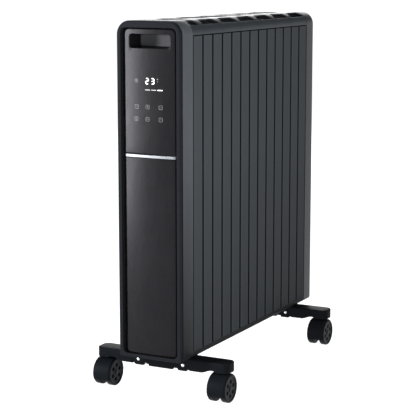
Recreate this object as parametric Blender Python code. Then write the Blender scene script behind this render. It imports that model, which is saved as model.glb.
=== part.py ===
"""Oil filled radiator heater on four folding arms with twin-wheel casters.

Metres, +Z up.  The origin is on the floor, under the middle of the body.
+X is the heater's right as seen from its control panel, which faces -Y.
"""

import math

import bmesh
import bpy
from mathutils import Vector

MM = 0.001

# ---------------------------------------------------------------- driving dimensions

CLEARANCE = 0.3 * MM            # between pieces that touch or seat on each other

# casters
WHEEL_RADIUS = 24.5 * MM
WHEEL_WIDTH = 11.2 * MM
WHEEL_STEPS = 20
WHEEL_EDGE = 1.5 * MM
WHEEL_RIM = 4.0 * MM
WHEEL_DISH = 1.2 * MM
WHEEL_CAP = 2.2 * MM
WHEEL_TO_WHEEL = 13.8 * MM      # free space between the two wheels of a caster
TREAD_GAP = 1.0 * MM
FENDER_WALL = 1.6 * MM
FENDER_SETBACK = 0.5 * MM       # how far the fender stops short of the wheel's outer face
FENDER_FRONT_ANGLE = -34.0      # degrees round the axle, 0 is level on the trailing side
FENDER_REAR_ANGLE = 182.0
FENDER_STEPS = 16
CASTER_TRAIL = 5.0 * MM
HUB_PLATE_RADIUS = 10.0 * MM
WEB_ANGLE = 30.0                # where the middle plate meets the fender, above level
AXLE_RADIUS = 2.5 * MM
STEM_RADIUS = 4.0 * MM
STEM_IN_HOOD = 12.5 * MM
STEM_IN_ARM = 13.0 * MM
STEM_EDGE = 0.6 * MM
SWIVEL_GAP = 0.5 * MM

# folding arms and the brackets that hold them
FOOT_DEPTH = 35.0 * MM
CASTER_X = 115.6 * MM
ARM_REACH = 17.4 * MM           # from the stem's axis to the arm's outer end
ARM_END_RADIUS = 12.0 * MM
BOSS_HEIGHT = 19.0 * MM
BOSS_RADIUS = 15.0 * MM
ARM_ROOT_HEIGHT = 21.2 * MM
ARM_WAIST_HEIGHT = 15.6 * MM
ARM_ROOT_LENGTH = 21.7 * MM
ARM_WAIST_X = 101.0 * MM
ARM_TOP_GAP = 1.4 * MM
PIVOT_X = 45.0 * MM
PIVOT_DROP = 12.1 * MM          # from the arm's top face down to the pivot
PIVOT_RADIUS = 3.2 * MM
PIVOT_HEAD_RADIUS = 4.4 * MM
PIVOT_HEAD = 1.2 * MM
PIN_STEPS = 10                  # sides of each pin, stem, axle and of its bore
EAR_RADIUS = 12.0 * MM
TONGUE_RADIUS = 10.5 * MM
TONGUE_WIDTH = 18.4 * MM
BRACKET_HEIGHT = 23.7 * MM
NOTCH_X = 29.4 * MM
NOTCH_WIDTH = 7.0 * MM
NOTCH_DEPTH = 5.0 * MM
FRONT_FOOT_INSET = 54.5 * MM    # from the body's front face to the middle of the foot
REAR_FOOT_INSET = 72.1 * MM

# body
BODY_WIDTH = 123.0 * MM
BODY_HEIGHT = 587.5 * MM
SHOULDER_RADIUS = 24.0 * MM
HEEL_RADIUS = 5.0 * MM
CORNER_STEPS = 5
FIN_COUNT = 13
FIN_PITCH = 37.0 * MM
FIN_SLIT = 4.5 * MM
FIN_SHEET = 1.3 * MM
FIN_EDGE = 1.6 * MM
WEB_SHEET = 2.0 * MM
OIL_COLUMN_X = 34.0 * MM
OIL_COLUMN_WIDTH = 22.0 * MM
OIL_COLUMN_DEPTH = 11.0 * MM
HEADER_RADIUS = 17.0 * MM
HEADER_BORE = 12.0 * MM
HEADER_INSET = 42.0 * MM        # from the end of the fin to the header's axis
HEADER_STEPS = 10
HEADER_END_WALL = 3.0 * MM
RAIL_HEIGHT = 10.6 * MM
RAIL_OVERLAP = 9.5 * MM          # how far each rail lies in over the brackets
RAIL_WALL = 2.0 * MM
COVER_HEIGHT = 25.5 * MM
COVER_WALL = 2.4 * MM
VENT_RIB = 18.0 * MM
VENT_SLANT = 6.5 * MM
VENT_OUTER_INSET = 7.6 * MM     # from the body's side face to the shoulder vents
VENT_WIDTH = 9.6 * MM
VENT_OFFSET = 2.0 * MM
MIDDLE_VENT_WIDTH = 52.0 * MM
MIDDLE_VENT_SLANT = 13.0 * MM
COVER_MARGIN = 4.0 * MM
REAR_DEPTH = 35.7 * MM
REAR_EDGE = 6.0 * MM

# control end
HOUSING_DEPTH = 46.9 * MM       # bezel, housing and back plate together
HOUSING_WALL = 2.5 * MM
BEZEL_DEPTH = 6.0 * MM
BEZEL_SIDE = 7.6 * MM
BEZEL_TOP = 12.0 * MM
BEZEL_BOTTOM = 6.5 * MM
BEZEL_EDGE = 2.2 * MM
OPENING_TOP_RADIUS = 9.5 * MM
OPENING_BOTTOM_RADIUS = 3.0 * MM
PANEL_GAP = 0.6 * MM
PANEL_WALL = 3.0 * MM
PANEL_RECESS = 6.5 * MM         # at the panel's side edges
PANEL_CROWN = 2.5 * MM
PANEL_STEPS = 10
STRIP_DROP = 228.0 * MM         # from the top of the body to the accent strip's top
STRIP_HEIGHT = 5.2 * MM
STRIP_STEP = 0.5 * MM
GRIP_WIDTH = 78.2 * MM
GRIP_HEIGHT = 22.8 * MM
GRIP_DROP = 23.2 * MM
GRIP_RADIUS = 4.0 * MM
GRIP_WALL = 1.5 * MM
BACK_PLATE = 1.5 * MM
BOARD = 1.6 * MM
DISPLAY_BOARD_WIDTH = 70.0 * MM
DISPLAY_BOARD_HEIGHT = 120.0 * MM
DISPLAY_BOARD_DROP = 62.0 * MM
POWER_BOARD_WIDTH = 88.0 * MM
POWER_BOARD_HEIGHT = 116.0 * MM
POWER_BOARD_LIFT = 210.0 * MM
RELAY_SIZE = 18.0 * MM
RELAY_DEPTH = 12.0 * MM
SUPPLY_SIZE = 28.0 * MM
SUPPLY_DEPTH = 14.0 * MM
TILT_SWITCH = (20.0 * MM, 16.0 * MM, 24.0 * MM)
TILT_SWITCH_X = -36.0 * MM
TILT_SWITCH_EDGE = 1.5 * MM
CUTOUT_RADIUS = 8.0 * MM
CUTOUT_FLANGE = 11.0 * MM
CUTOUT_DEPTH = 9.0 * MM
CUTOUT_RISE = 51.0 * MM         # from the lower header's axis to the cutout's
GLAND_RADIUS = 6.0 * MM
GLAND_FLANGE = 9.0 * MM
GLAND_REACH = 11.0 * MM
GLAND_BORE = 3.6 * MM
GLAND_LIFT = 62.0 * MM
GLAND_FLANGE_WALL = 2.0 * MM
GLAND_INSIDE = 3.0 * MM
GLAND_TIP_WALL = 1.2 * MM
ELEMENT_ROD = 4.0 * MM
ELEMENT_SPREAD = 6.5 * MM
ELEMENT_LENGTH = 370.0 * MM
ELEMENT_NUT = 21.0 * MM
ELEMENT_NUT_DEPTH = 9.0 * MM
ELEMENT_NECK = 6.0 * MM         # how far the threaded neck reaches into the first fin
TERMINAL_RADIUS = 2.2 * MM
TERMINAL_LENGTH = 8.0 * MM

# ---------------------------------------------------------------- derived places

BODY_LENGTH = HOUSING_DEPTH + FIN_COUNT * FIN_PITCH + REAR_DEPTH
HALF_WIDTH = BODY_WIDTH / 2
FRONT_Y = -BODY_LENGTH / 2
FINS_Y = FRONT_Y + HOUSING_DEPTH
REAR_Y = FINS_Y + FIN_COUNT * FIN_PITCH
BACK_Y = FRONT_Y + BODY_LENGTH

AXLE_Z = WHEEL_RADIUS
FENDER_RADIUS = WHEEL_RADIUS + TREAD_GAP + FENDER_WALL
BOSS_Z = AXLE_Z + FENDER_RADIUS + SWIVEL_GAP
ARM_TOP_Z = BOSS_Z + BOSS_HEIGHT
PIVOT_Z = ARM_TOP_Z - PIVOT_DROP
BODY_Z = ARM_TOP_Z + ARM_TOP_GAP
BODY_TOP_Z = BODY_Z + BODY_HEIGHT
CASTER_HALF_WIDTH = WHEEL_TO_WHEEL / 2 + WHEEL_WIDTH
SHOULDER_X = PIVOT_X + EAR_RADIUS

FIN_LOW_Z = BODY_Z + RAIL_HEIGHT + CLEARANCE
COVER_Z = BODY_TOP_Z - COVER_HEIGHT
FIN_HIGH_Z = COVER_Z - CLEARANCE
LOWER_HEADER_Z = FIN_LOW_Z + HEADER_INSET
UPPER_HEADER_Z = FIN_HIGH_Z - HEADER_INSET

OPENING_HALF = HALF_WIDTH - BEZEL_SIDE
OPENING_LOW_Z = BODY_Z + BEZEL_BOTTOM
OPENING_HIGH_Z = BODY_TOP_Z - BEZEL_TOP
PANEL_HALF = OPENING_HALF - PANEL_GAP
PANEL_BACK_Y = FRONT_Y + PANEL_RECESS + PANEL_WALL
STRIP_HIGH_Z = BODY_TOP_Z - STRIP_DROP
STRIP_LOW_Z = STRIP_HIGH_Z - STRIP_HEIGHT
GRIP_HIGH_Z = BODY_TOP_Z - GRIP_DROP
GRIP_LOW_Z = GRIP_HIGH_Z - GRIP_HEIGHT
BACK_PLATE_Y = FINS_Y - CLEARANCE - BACK_PLATE


# ---------------------------------------------------------------- scene and materials

def clear_scene():
    """Remove every object, so the model starts from nothing."""
    for thing in list(bpy.data.objects):
        bpy.data.objects.remove(thing, do_unlink=True)


def material(name, colour, roughness, metallic=0.0):
    """A plain Principled finish: colour, roughness and metallic value."""
    finish = bpy.data.materials.new(name)
    finish.use_nodes = True
    shader = finish.node_tree.nodes["Principled BSDF"]
    shader.inputs["Base Color"].default_value = (*colour, 1.0)
    shader.inputs["Roughness"].default_value = roughness
    shader.inputs["Metallic"].default_value = metallic
    finish.diffuse_color = (*colour, 1.0)
    return finish


def make_materials():
    """The finishes of the whole heater."""
    return {
        "satin_shell": material("satin_shell", (0.040, 0.043, 0.048), 0.45),
        "painted_fin": material("painted_fin", (0.055, 0.060, 0.064), 0.40, 0.2),
        "gloss_panel": material("gloss_panel", (0.012, 0.012, 0.014), 0.08),
        "bright_strip": material("bright_strip", (0.72, 0.73, 0.74), 0.25, 0.6),
        "foot_plastic": material("foot_plastic", (0.012, 0.014, 0.016), 0.5),
        "wheel_plastic": material("wheel_plastic", (0.018, 0.020, 0.022), 0.55),
        "steel": material("steel", (0.60, 0.61, 0.62), 0.25, 1.0),
        "board": material("board", (0.02, 0.10, 0.05), 0.5),
        "inner_black": material("inner_black", (0.010, 0.010, 0.011), 0.6),
    }


# ---------------------------------------------------------------- mesh helpers

def finish_mesh(name, bm, finish, parent=None, location=(0, 0, 0)):
    """Turn a bmesh into a named object with outward faces and a parent."""
    bmesh.ops.remove_doubles(bm, verts=bm.verts, dist=1e-6)
    bmesh.ops.recalc_face_normals(bm, faces=bm.faces)
    mesh = bpy.data.meshes.new(name)
    bm.to_mesh(mesh)
    bm.free()
    return place(name, mesh, finish, parent, location)


def place(name, mesh, finish, parent=None, location=(0, 0, 0)):
    """Link a mesh as a named object with one finish."""
    thing = bpy.data.objects.new(name, mesh)
    bpy.context.collection.objects.link(thing)
    if finish is not None and not mesh.materials:
        mesh.materials.append(finish)
    thing.parent = parent
    thing.location = location
    return thing


def pivot(name, location, parent=None):
    """An empty that marks a joint axis and carries what turns on it."""
    marker = bpy.data.objects.new(name, None)
    marker.empty_display_size = 20 * MM
    bpy.context.collection.objects.link(marker)
    marker.parent = parent
    marker.location = location
    return marker


def smooth(thing, angle=35.0):
    """Shade round faces smooth and keep the edges sharper than the angle."""
    thing.data.shade_smooth()
    thing.data.set_sharp_from_angle(angle=math.radians(angle))


def cut(thing, cutter, operation="DIFFERENCE"):
    """Combine a thing with a guide solid that is itself left out of the part."""
    cutter.hide_render = True
    cutter.display_type = "WIRE"
    cutter.parent = thing.parent
    step = thing.modifiers.new(cutter.name, "BOOLEAN")
    step.operation = operation
    step.solver = "EXACT"
    step.object = cutter


def settled_mesh(thing, name):
    """The thing's mesh with its modifiers worked in."""
    bpy.context.view_layer.update()
    view = bpy.context.evaluated_depsgraph_get()
    mesh = bpy.data.meshes.new_from_object(thing.evaluated_get(view))
    mesh.name = name
    return mesh


def prism(bm, outline, axis, low, high):
    """Extrude a closed outline along an axis, between two stations."""
    def corner(point, station):
        place_on = {"x": (station, point[0], point[1]),
                    "y": (point[0], station, point[1]),
                    "z": (point[0], point[1], station)}
        return bm.verts.new(place_on[axis])
    first = [corner(point, low) for point in outline]
    last = [corner(point, high) for point in outline]
    bm.faces.new(first)
    bm.faces.new(list(reversed(last)))
    count = len(outline)
    for i in range(count):
        j = (i + 1) % count
        bm.faces.new((first[i], last[i], last[j], first[j]))


def prism_object(name, outline, axis, low, high, finish=None, parent=None):
    """One extruded outline as an object."""
    bm = bmesh.new()
    prism(bm, outline, axis, low, high)
    return finish_mesh(name, bm, finish, parent)


def rounded_box(name, low, high, finish, edge=0.0, parent=None, segments=1):
    """A box between two corners, with its edges bevelled if asked."""
    outline = [(low[0], low[1]), (high[0], low[1]), (high[0], high[1]), (low[0], high[1])]
    thing = prism_object(name, outline, "z", low[2], high[2], finish, parent)
    if edge > 0:
        bevel = thing.modifiers.new("edge", "BEVEL")
        bevel.width = edge
        bevel.segments = segments
    return thing


def loft(bm, loops, close_start=False, close_end=False, close_ring=False):
    """Skin equal loops of points in order, and cap or join the ends."""
    rows = [[bm.verts.new(point) for point in loop] for loop in loops]
    count = len(rows[0])
    pairs = list(zip(rows[:-1], rows[1:]))
    if close_ring:
        pairs.append((rows[-1], rows[0]))
    for one, two in pairs:
        for i in range(count):
            j = (i + 1) % count
            bm.faces.new((one[i], one[j], two[j], two[i]))
    if close_start:
        bm.faces.new(rows[0])
    if close_end:
        bm.faces.new(list(reversed(rows[-1])))


def turned(bm, profile, axis, steps, centre=(0, 0, 0), closed=False):
    """Spin a profile of (radius, station) points about an axis through a centre.

    An open profile starts and ends on flat round caps; a closed one makes a ring.
    """
    def ring(radius, station):
        points = []
        for i in range(steps):
            turn = 2 * math.pi * i / steps
            a = radius * math.cos(turn)
            b = radius * math.sin(turn)
            offset = {"x": (station, a, b), "y": (a, station, b), "z": (a, b, station)}[axis]
            points.append(Vector(centre) + Vector(offset))
        return points
    loops = [ring(radius, station) for radius, station in profile]
    loft(bm, loops, close_start=not closed, close_end=not closed, close_ring=closed)


def turned_object(name, profile, axis, steps, finish=None, parent=None, centre=(0, 0, 0)):
    """One turned solid as an object."""
    bm = bmesh.new()
    turned(bm, profile, axis, steps, centre)
    thing = finish_mesh(name, bm, finish, parent)
    smooth(thing)
    return thing


def cylinder(name, radius, axis, low, high, centre, steps=16):
    """A guide cylinder between two stations along an axis."""
    bm = bmesh.new()
    turned(bm, [(radius, low), (radius, high)], axis, steps, centre)
    return finish_mesh(name, bm, None)


def arc(centre, radius, start, end, steps):
    """Points on an arc, in degrees, both ends included."""
    points = []
    for i in range(steps + 1):
        turn = math.radians(start + (end - start) * i / steps)
        points.append((centre[0] + radius * math.cos(turn), centre[1] + radius * math.sin(turn)))
    return points


def round_rectangle(half, low, high, top_radius, bottom_radius, steps=CORNER_STEPS):
    """An upright rectangle centred on x = 0, with its own top and bottom corner radii."""
    top = max(top_radius, 0.2 * MM)
    bottom = max(bottom_radius, 0.2 * MM)
    points = arc((half - bottom, low + bottom), bottom, -90, 0, steps)
    points += arc((half - top, high - top), top, 0, 90, steps)
    points += arc((-half + top, high - top), top, 90, 180, steps)
    points += arc((-half + bottom, low + bottom), bottom, 180, 270, steps)
    return points


def body_outline(inset=0.0):
    """The heater's end view, drawn in by an inset."""
    return round_rectangle(HALF_WIDTH - inset, BODY_Z + inset, BODY_TOP_Z - inset,
                           SHOULDER_RADIUS - inset, HEEL_RADIUS - inset)


def opening_outline(inset=0.0):
    """The bezel's opening in end view, drawn in by an inset."""
    return round_rectangle(OPENING_HALF - inset, OPENING_LOW_Z + inset, OPENING_HIGH_Z - inset,
                           OPENING_TOP_RADIUS - inset, OPENING_BOTTOM_RADIUS - inset)


def at_station(outline, y):
    """An end-view outline set at one distance along the heater."""
    return [(x, y, z) for x, z in outline]


# ---------------------------------------------------------------- control end

def make_front_bezel(finish):
    """A frame with rounded outer and inner edges round the two front panels."""
    back = FRONT_Y + BEZEL_DEPTH
    edge = BEZEL_EDGE
    loops = [
        at_station(body_outline(), back),
        at_station(body_outline(), FRONT_Y + edge),
        at_station(body_outline(edge), FRONT_Y),
        at_station(opening_outline(-edge * 0.5), FRONT_Y),
        at_station(opening_outline(), FRONT_Y + edge * 0.5),
        at_station(opening_outline(), back),
    ]
    bm = bmesh.new()
    loft(bm, loops, close_ring=True)
    smooth(finish_mesh("front_bezel", bm, finish))


def make_control_housing(finish):
    """The open tube behind the bezel, with the gland's hole low on its left side."""
    front = FRONT_Y + BEZEL_DEPTH + CLEARANCE
    back = FINS_Y - CLEARANCE
    bm = bmesh.new()
    loops = [at_station(body_outline(), back), at_station(body_outline(), front),
             at_station(body_outline(HOUSING_WALL), front), at_station(body_outline(HOUSING_WALL), back)]
    loft(bm, loops, close_ring=True)
    housing = finish_mesh("control_housing", bm, finish)
    hole = cylinder("gland_hole", GLAND_RADIUS + CLEARANCE, "x", -HALF_WIDTH - HOUSING_WALL,
                    -HALF_WIDTH + 2 * HOUSING_WALL, (0, gland_y(), BODY_Z + GLAND_LIFT))
    cut(housing, hole)
    smooth(housing)


def gland_y():
    """The gland sits midway along the housing."""
    return FRONT_Y + (BEZEL_DEPTH + HOUSING_DEPTH) / 2


def crowned_slab(name, low, high, lift, wall, finish):
    """A panel whose front bows forward in the middle, between two heights."""
    front = []
    for i in range(PANEL_STEPS + 1):
        share = -1 + 2 * i / PANEL_STEPS
        bow = PANEL_RECESS - PANEL_CROWN * (1 - share * share)
        front.append((share * PANEL_HALF, FRONT_Y + bow - lift))
    back = [(x, y + wall) for x, y in reversed(front)]
    return prism_object(name, front + back, "z", low, high, finish)


def make_panels(gloss, bright):
    """The touch panel with the grip slot, the lower panel and the strip between them."""
    rim = opening_outline(PANEL_GAP)
    deep = FRONT_Y + HOUSING_DEPTH
    panels = {
        "control_panel": (STRIP_HIGH_Z + CLEARANCE, OPENING_HIGH_Z, 0, gloss),
        "lower_panel": (OPENING_LOW_Z, STRIP_LOW_Z - CLEARANCE, 0, gloss),
        "accent_strip": (STRIP_LOW_Z, STRIP_HIGH_Z, STRIP_STEP, bright),
    }
    for name, (low, high, lift, finish) in panels.items():
        panel = crowned_slab(name, low, high, lift, PANEL_WALL, finish)
        if name != "accent_strip":
            cut(panel, prism_object(name + "_rim", rim, "y", FRONT_Y - BEZEL_DEPTH, deep), "INTERSECT")
        if name == "control_panel":
            slot = round_rectangle(GRIP_WIDTH / 2, GRIP_LOW_Z, GRIP_HIGH_Z, GRIP_RADIUS, GRIP_RADIUS, 3)
            cut(panel, prism_object("grip_slot", slot, "y", FRONT_Y - BEZEL_DEPTH, deep))


def make_grip_pocket(finish):
    """The lined hand hole behind the touch panel, open at the front."""
    front = PANEL_BACK_Y + CLEARANCE
    back = BACK_PLATE_Y - CLEARANCE

    def ring(extra):
        return round_rectangle(GRIP_WIDTH / 2 + extra, GRIP_LOW_Z - extra, GRIP_HIGH_Z + extra,
                               GRIP_RADIUS + extra, GRIP_RADIUS + extra, 3)
    bm = bmesh.new()
    loops = [at_station(ring(GRIP_WALL), back), at_station(ring(GRIP_WALL), front),
             at_station(ring(0.0), front), at_station(ring(0.0), back - GRIP_WALL)]
    loft(bm, loops, close_start=True, close_end=True)
    smooth(finish_mesh("grip_pocket", bm, finish))


def make_back_plate(finish):
    """The wall between the controls and the first fin, with the element's hole."""
    outline = body_outline(HOUSING_WALL + CLEARANCE)
    plate = prism_object("back_plate", outline, "y", BACK_PLATE_Y, FINS_Y - CLEARANCE, finish)
    hole = cylinder("element_hole", HEADER_BORE + 2 * CLEARANCE, "y", BACK_PLATE_Y - BACK_PLATE,
                    FINS_Y + BACK_PLATE, (0, 0, LOWER_HEADER_Z))
    cut(plate, hole)


def make_boards(finish):
    """The display board behind the touch panel and the power board below it."""
    y = PANEL_BACK_Y + 2 * BOARD
    high = BODY_TOP_Z - DISPLAY_BOARD_DROP
    half = DISPLAY_BOARD_WIDTH / 2
    rounded_box("display_board", (-half, y, high - DISPLAY_BOARD_HEIGHT), (half, y + BOARD, high), finish)
    low = BODY_Z + POWER_BOARD_LIFT
    half = POWER_BOARD_WIDTH / 2
    y = BACK_PLATE_Y - 4 * BOARD
    board = rounded_box("power_board", (-half, y - BOARD, low), (half, y, low + POWER_BOARD_HEIGHT), finish)
    blocks = [("relay_one", -half / 2, 0.70, RELAY_SIZE, RELAY_DEPTH),
              ("relay_two", half / 8, 0.70, RELAY_SIZE, RELAY_DEPTH),
              ("supply", half / 2, 0.25, SUPPLY_SIZE, SUPPLY_DEPTH)]
    for name, x, up, size, depth in blocks:
        z = low + up * POWER_BOARD_HEIGHT
        near = (x - size / 2, y - BOARD - depth, z - size / 2)
        far = (x + size / 2, y - BOARD / 2, z + size / 2)
        cut(board, rounded_box(name, near, far, None), "UNION")


def make_safety_parts(finish):
    """The tilt switch on the housing's floor and the cutout on the back plate."""
    floor = BODY_Z + HOUSING_WALL + CLEARANCE
    width, depth, height = TILT_SWITCH
    near = (TILT_SWITCH_X, BACK_PLATE_Y - 1.5 * depth, floor)
    far = (TILT_SWITCH_X + width, BACK_PLATE_Y - depth / 2, floor + height)
    rounded_box("tip_over_switch", near, far, finish, TILT_SWITCH_EDGE)
    back = BACK_PLATE_Y - CLEARANCE
    profile = [(CUTOUT_FLANGE, back), (CUTOUT_FLANGE, back - BACK_PLATE), (CUTOUT_RADIUS, back - BACK_PLATE),
               (CUTOUT_RADIUS, back - CUTOUT_DEPTH)]
    turned_object("thermal_cutout", profile, "y", PIN_STEPS, finish,
                  centre=(0, 0, LOWER_HEADER_Z + CUTOUT_RISE))


def make_heating_element(finish):
    """A U-shaped sheathed rod in the lower header, with its nut and two terminals."""
    nut_back = BACK_PLATE_Y - CLEARANCE
    nut_front = nut_back - ELEMENT_NUT_DEPTH
    neck_end = FINS_Y + ELEMENT_NECK
    profile = [(ELEMENT_NUT, nut_front), (ELEMENT_NUT, nut_back),
               (HEADER_BORE - CLEARANCE, nut_back), (HEADER_BORE - CLEARANCE, neck_end)]
    element = turned_object("heating_element", profile, "y", HEADER_STEPS, finish,
                            centre=(0, 0, LOWER_HEADER_Z))
    bend = neck_end + ELEMENT_LENGTH
    path = [(-ELEMENT_SPREAD, neck_end - ELEMENT_NECK / 2)]
    path += arc((0, bend), ELEMENT_SPREAD, 180, 0, 6)
    path += [(ELEMENT_SPREAD, neck_end - ELEMENT_NECK / 2)]
    cut(element, swept_rod("element_rod", path, ELEMENT_ROD, LOWER_HEADER_Z), "UNION")
    for name, side in (("terminal_left", -1), ("terminal_right", 1)):
        stud = cylinder(name, TERMINAL_RADIUS, "y", nut_front - TERMINAL_LENGTH, nut_front + TERMINAL_RADIUS,
                        (side * ELEMENT_SPREAD, 0, LOWER_HEADER_Z), 8)
        cut(element, stud, "UNION")


def swept_rod(name, path, radius, height, sides=8):
    """A round rod along a level path: one ring of points square to each bisector."""
    loops = []
    count = len(path)
    for i, (x, y) in enumerate(path):
        before = path[max(i - 1, 0)]
        after = path[min(i + 1, count - 1)]
        along = Vector((after[0] - before[0], after[1] - before[1])).normalized()
        across = Vector((along.y, -along.x))
        ring = []
        for k in range(sides):
            turn = 2 * math.pi * k / sides
            out = across * radius * math.cos(turn)
            ring.append((x + out.x, y + out.y, height + radius * math.sin(turn)))
        loops.append(ring)
    bm = bmesh.new()
    loft(bm, loops, close_start=True, close_end=True)
    return finish_mesh(name, bm, None)


def make_cord_gland(finish):
    """The bushing in the housing's left side that the supply cord comes out of."""
    inner = -HALF_WIDTH + HOUSING_WALL + GLAND_INSIDE
    wall = -HALF_WIDTH - CLEARANCE
    outer = -HALF_WIDTH - GLAND_REACH
    profile = [(GLAND_BORE, inner), (GLAND_RADIUS, inner), (GLAND_RADIUS, wall), (GLAND_FLANGE, wall),
               (GLAND_FLANGE, wall - GLAND_FLANGE_WALL), (GLAND_RADIUS, wall - GLAND_FLANGE_WALL),
               (GLAND_BORE + GLAND_TIP_WALL, outer), (GLAND_BORE, outer)]
    bm = bmesh.new()
    turned(bm, profile, "x", 12, (0, gland_y(), BODY_Z + GLAND_LIFT), closed=True)
    smooth(finish_mesh("cord_gland", bm, finish))


# ---------------------------------------------------------------- fins and covers

def fin_outline():
    """A fin in plan: two wide flanges joined by a web that swells into oil columns."""
    half_flange = (FIN_PITCH - FIN_SLIT) / 2
    flange_in = HALF_WIDTH - FIN_SHEET
    web = WEB_SHEET / 2
    slope = (OIL_COLUMN_DEPTH - WEB_SHEET) / 2
    right = [(flange_in, web), (flange_in, half_flange - FIN_EDGE), (HALF_WIDTH - FIN_EDGE, half_flange),
             (HALF_WIDTH, half_flange - FIN_EDGE)]
    quarter = []
    for centre in (0.0, OIL_COLUMN_X):
        rise = [(centre + OIL_COLUMN_WIDTH / 2 - slope, OIL_COLUMN_DEPTH / 2),
                (centre + OIL_COLUMN_WIDTH / 2, web)]
        fall = [(centre - OIL_COLUMN_WIDTH / 2, web),
                (centre - OIL_COLUMN_WIDTH / 2 + slope, OIL_COLUMN_DEPTH / 2)]
        quarter += rise if centre == 0.0 else fall + rise
    quarter += right
    back_right = quarter
    front_right = [(x, -y) for x, y in reversed(quarter)]
    front_left = [(-x, -y) for x, y in quarter]
    back_left = [(-x, y) for x, y in reversed(quarter)]
    return back_right + front_right + front_left + back_left


def fin_mesh(name, bored, finish):
    """A fin at y = 0 with its two header collars, and the oil way where it is bored."""
    fin = prism_object(name, fin_outline(), "z", FIN_LOW_Z, FIN_HIGH_Z, finish)
    reach = (FIN_PITCH - CLEARANCE) / 2
    for end, height in (("lower", LOWER_HEADER_Z), ("upper", UPPER_HEADER_Z)):
        collar = cylinder(name + "_" + end + "_collar", HEADER_RADIUS, "y", -reach, reach,
                          (0, 0, height), HEADER_STEPS)
        cut(fin, collar, "UNION")
    far = 2 * reach if bored else reach - HEADER_END_WALL
    cut(fin, cylinder(name + "_oil_way", HEADER_BORE, "y", -2 * reach, far,
                      (0, 0, LOWER_HEADER_Z), HEADER_STEPS))
    mesh = settled_mesh(fin, name)
    for step in list(fin.modifiers):
        guide = step.object
        fin.modifiers.remove(step)
        bpy.data.objects.remove(guide, do_unlink=True)
    bpy.data.objects.remove(fin, do_unlink=True)
    return mesh


def make_fins(finish):
    """The row of fins; the last one closes the oil way."""
    bored = fin_mesh("fin_bored", True, finish)
    closed = fin_mesh("fin_closed", False, finish)
    for number in range(FIN_COUNT):
        mesh = closed if number == FIN_COUNT - 1 else bored
        y = FINS_Y + (number + 0.5) * FIN_PITCH
        fin = place("fin_%02d" % (number + 1), mesh, finish, location=(0, y, 0))
        smooth(fin, 30.0)


def make_bottom_rails(finish):
    """The pair of angle rails that tie the two ends together under the fins."""
    front = FINS_Y + CLEARANCE
    back = REAR_Y - CLEARANCE
    inner = SHOULDER_X - RAIL_OVERLAP
    for name, side in (("bottom_rail_right", 1), ("bottom_rail_left", -1)):
        angle = [(inner, BODY_Z), (HALF_WIDTH - HEEL_RADIUS / 2, BODY_Z),
                 (HALF_WIDTH, BODY_Z + HEEL_RADIUS / 2), (HALF_WIDTH, BODY_Z + RAIL_HEIGHT),
                 (HALF_WIDTH - RAIL_WALL, BODY_Z + RAIL_HEIGHT), (HALF_WIDTH - RAIL_WALL, BODY_Z + RAIL_WALL),
                 (inner, BODY_Z + RAIL_WALL)]
        prism_object(name, [(side * x, z) for x, z in angle], "y", front, back, finish)


def make_top_cover(finish):
    """The arched cover over the fins, pierced by three rows of vents."""
    front = FINS_Y + CLEARANCE
    back = REAR_Y - CLEARANCE
    inner_radius = SHOULDER_RADIUS - COVER_WALL
    centre_x = HALF_WIDTH - SHOULDER_RADIUS
    centre_z = BODY_TOP_Z - SHOULDER_RADIUS
    outer = [(HALF_WIDTH, COVER_Z)] + arc((centre_x, centre_z), SHOULDER_RADIUS, 0, 90, CORNER_STEPS)
    outer += [(-x, z) for x, z in reversed(outer)]
    inner = [(HALF_WIDTH - COVER_WALL, COVER_Z)]
    inner += arc((centre_x, centre_z), inner_radius, 0, 90, CORNER_STEPS)
    inner += [(-x, z) for x, z in reversed(inner)]
    cover = prism_object("top_cover", outer + list(reversed(inner)), "y", front, back, finish)
    cut(cover, vent_guides(front, back))
    smooth(cover)


def vent_guides(front, back):
    """Upright prisms: a row of tapered slots in each shoulder and hexagons between."""
    bm = bmesh.new()
    pitch = 2 * FIN_PITCH
    low = COVER_Z - COVER_HEIGHT
    high = BODY_TOP_Z + COVER_HEIGHT
    outer_x = HALF_WIDTH - VENT_OUTER_INSET
    inner_x = outer_x - VENT_WIDTH
    half = (pitch - VENT_RIB) / 2
    first = front + COVER_MARGIN
    last = back - COVER_MARGIN
    for number in range(FIN_COUNT // 2 + 1):
        middle = FINS_Y + VENT_OFFSET + number * pitch
        for side in (1, -1):
            tapered = [(inner_x, middle - half + VENT_SLANT), (outer_x, middle - half),
                       (outer_x, middle + half), (inner_x, middle + half - VENT_SLANT)]
            slot = [(side * x, min(max(y, first), last)) for x, y in tapered]
            prism(bm, slot, "z", low, high)
        middle += pitch / 2
        if middle + half < last:
            across = MIDDLE_VENT_WIDTH / 2
            flat = half - MIDDLE_VENT_SLANT
            hexagon = [(0, middle - half), (across, middle - flat), (across, middle + flat),
                       (0, middle + half), (-across, middle + flat), (-across, middle - flat)]
            prism(bm, hexagon, "z", low, high)
    return finish_mesh("vent_guides", bm, None)


def make_rear_cover(finish):
    """A dish with a rounded back edge that closes the far end."""
    front = REAR_Y + CLEARANCE
    edge = REAR_EDGE
    loops = [
        at_station(body_outline(HOUSING_WALL), BACK_Y - HOUSING_WALL),
        at_station(body_outline(HOUSING_WALL), front),
        at_station(body_outline(), front),
        at_station(body_outline(), BACK_Y - edge),
        at_station(body_outline(edge * 0.3), BACK_Y - edge * 0.3),
        at_station(body_outline(edge), BACK_Y),
    ]
    bm = bmesh.new()
    loft(bm, loops, close_start=True, close_end=True)
    smooth(finish_mesh("rear_cover", bm, finish))


# ---------------------------------------------------------------- feet

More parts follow.
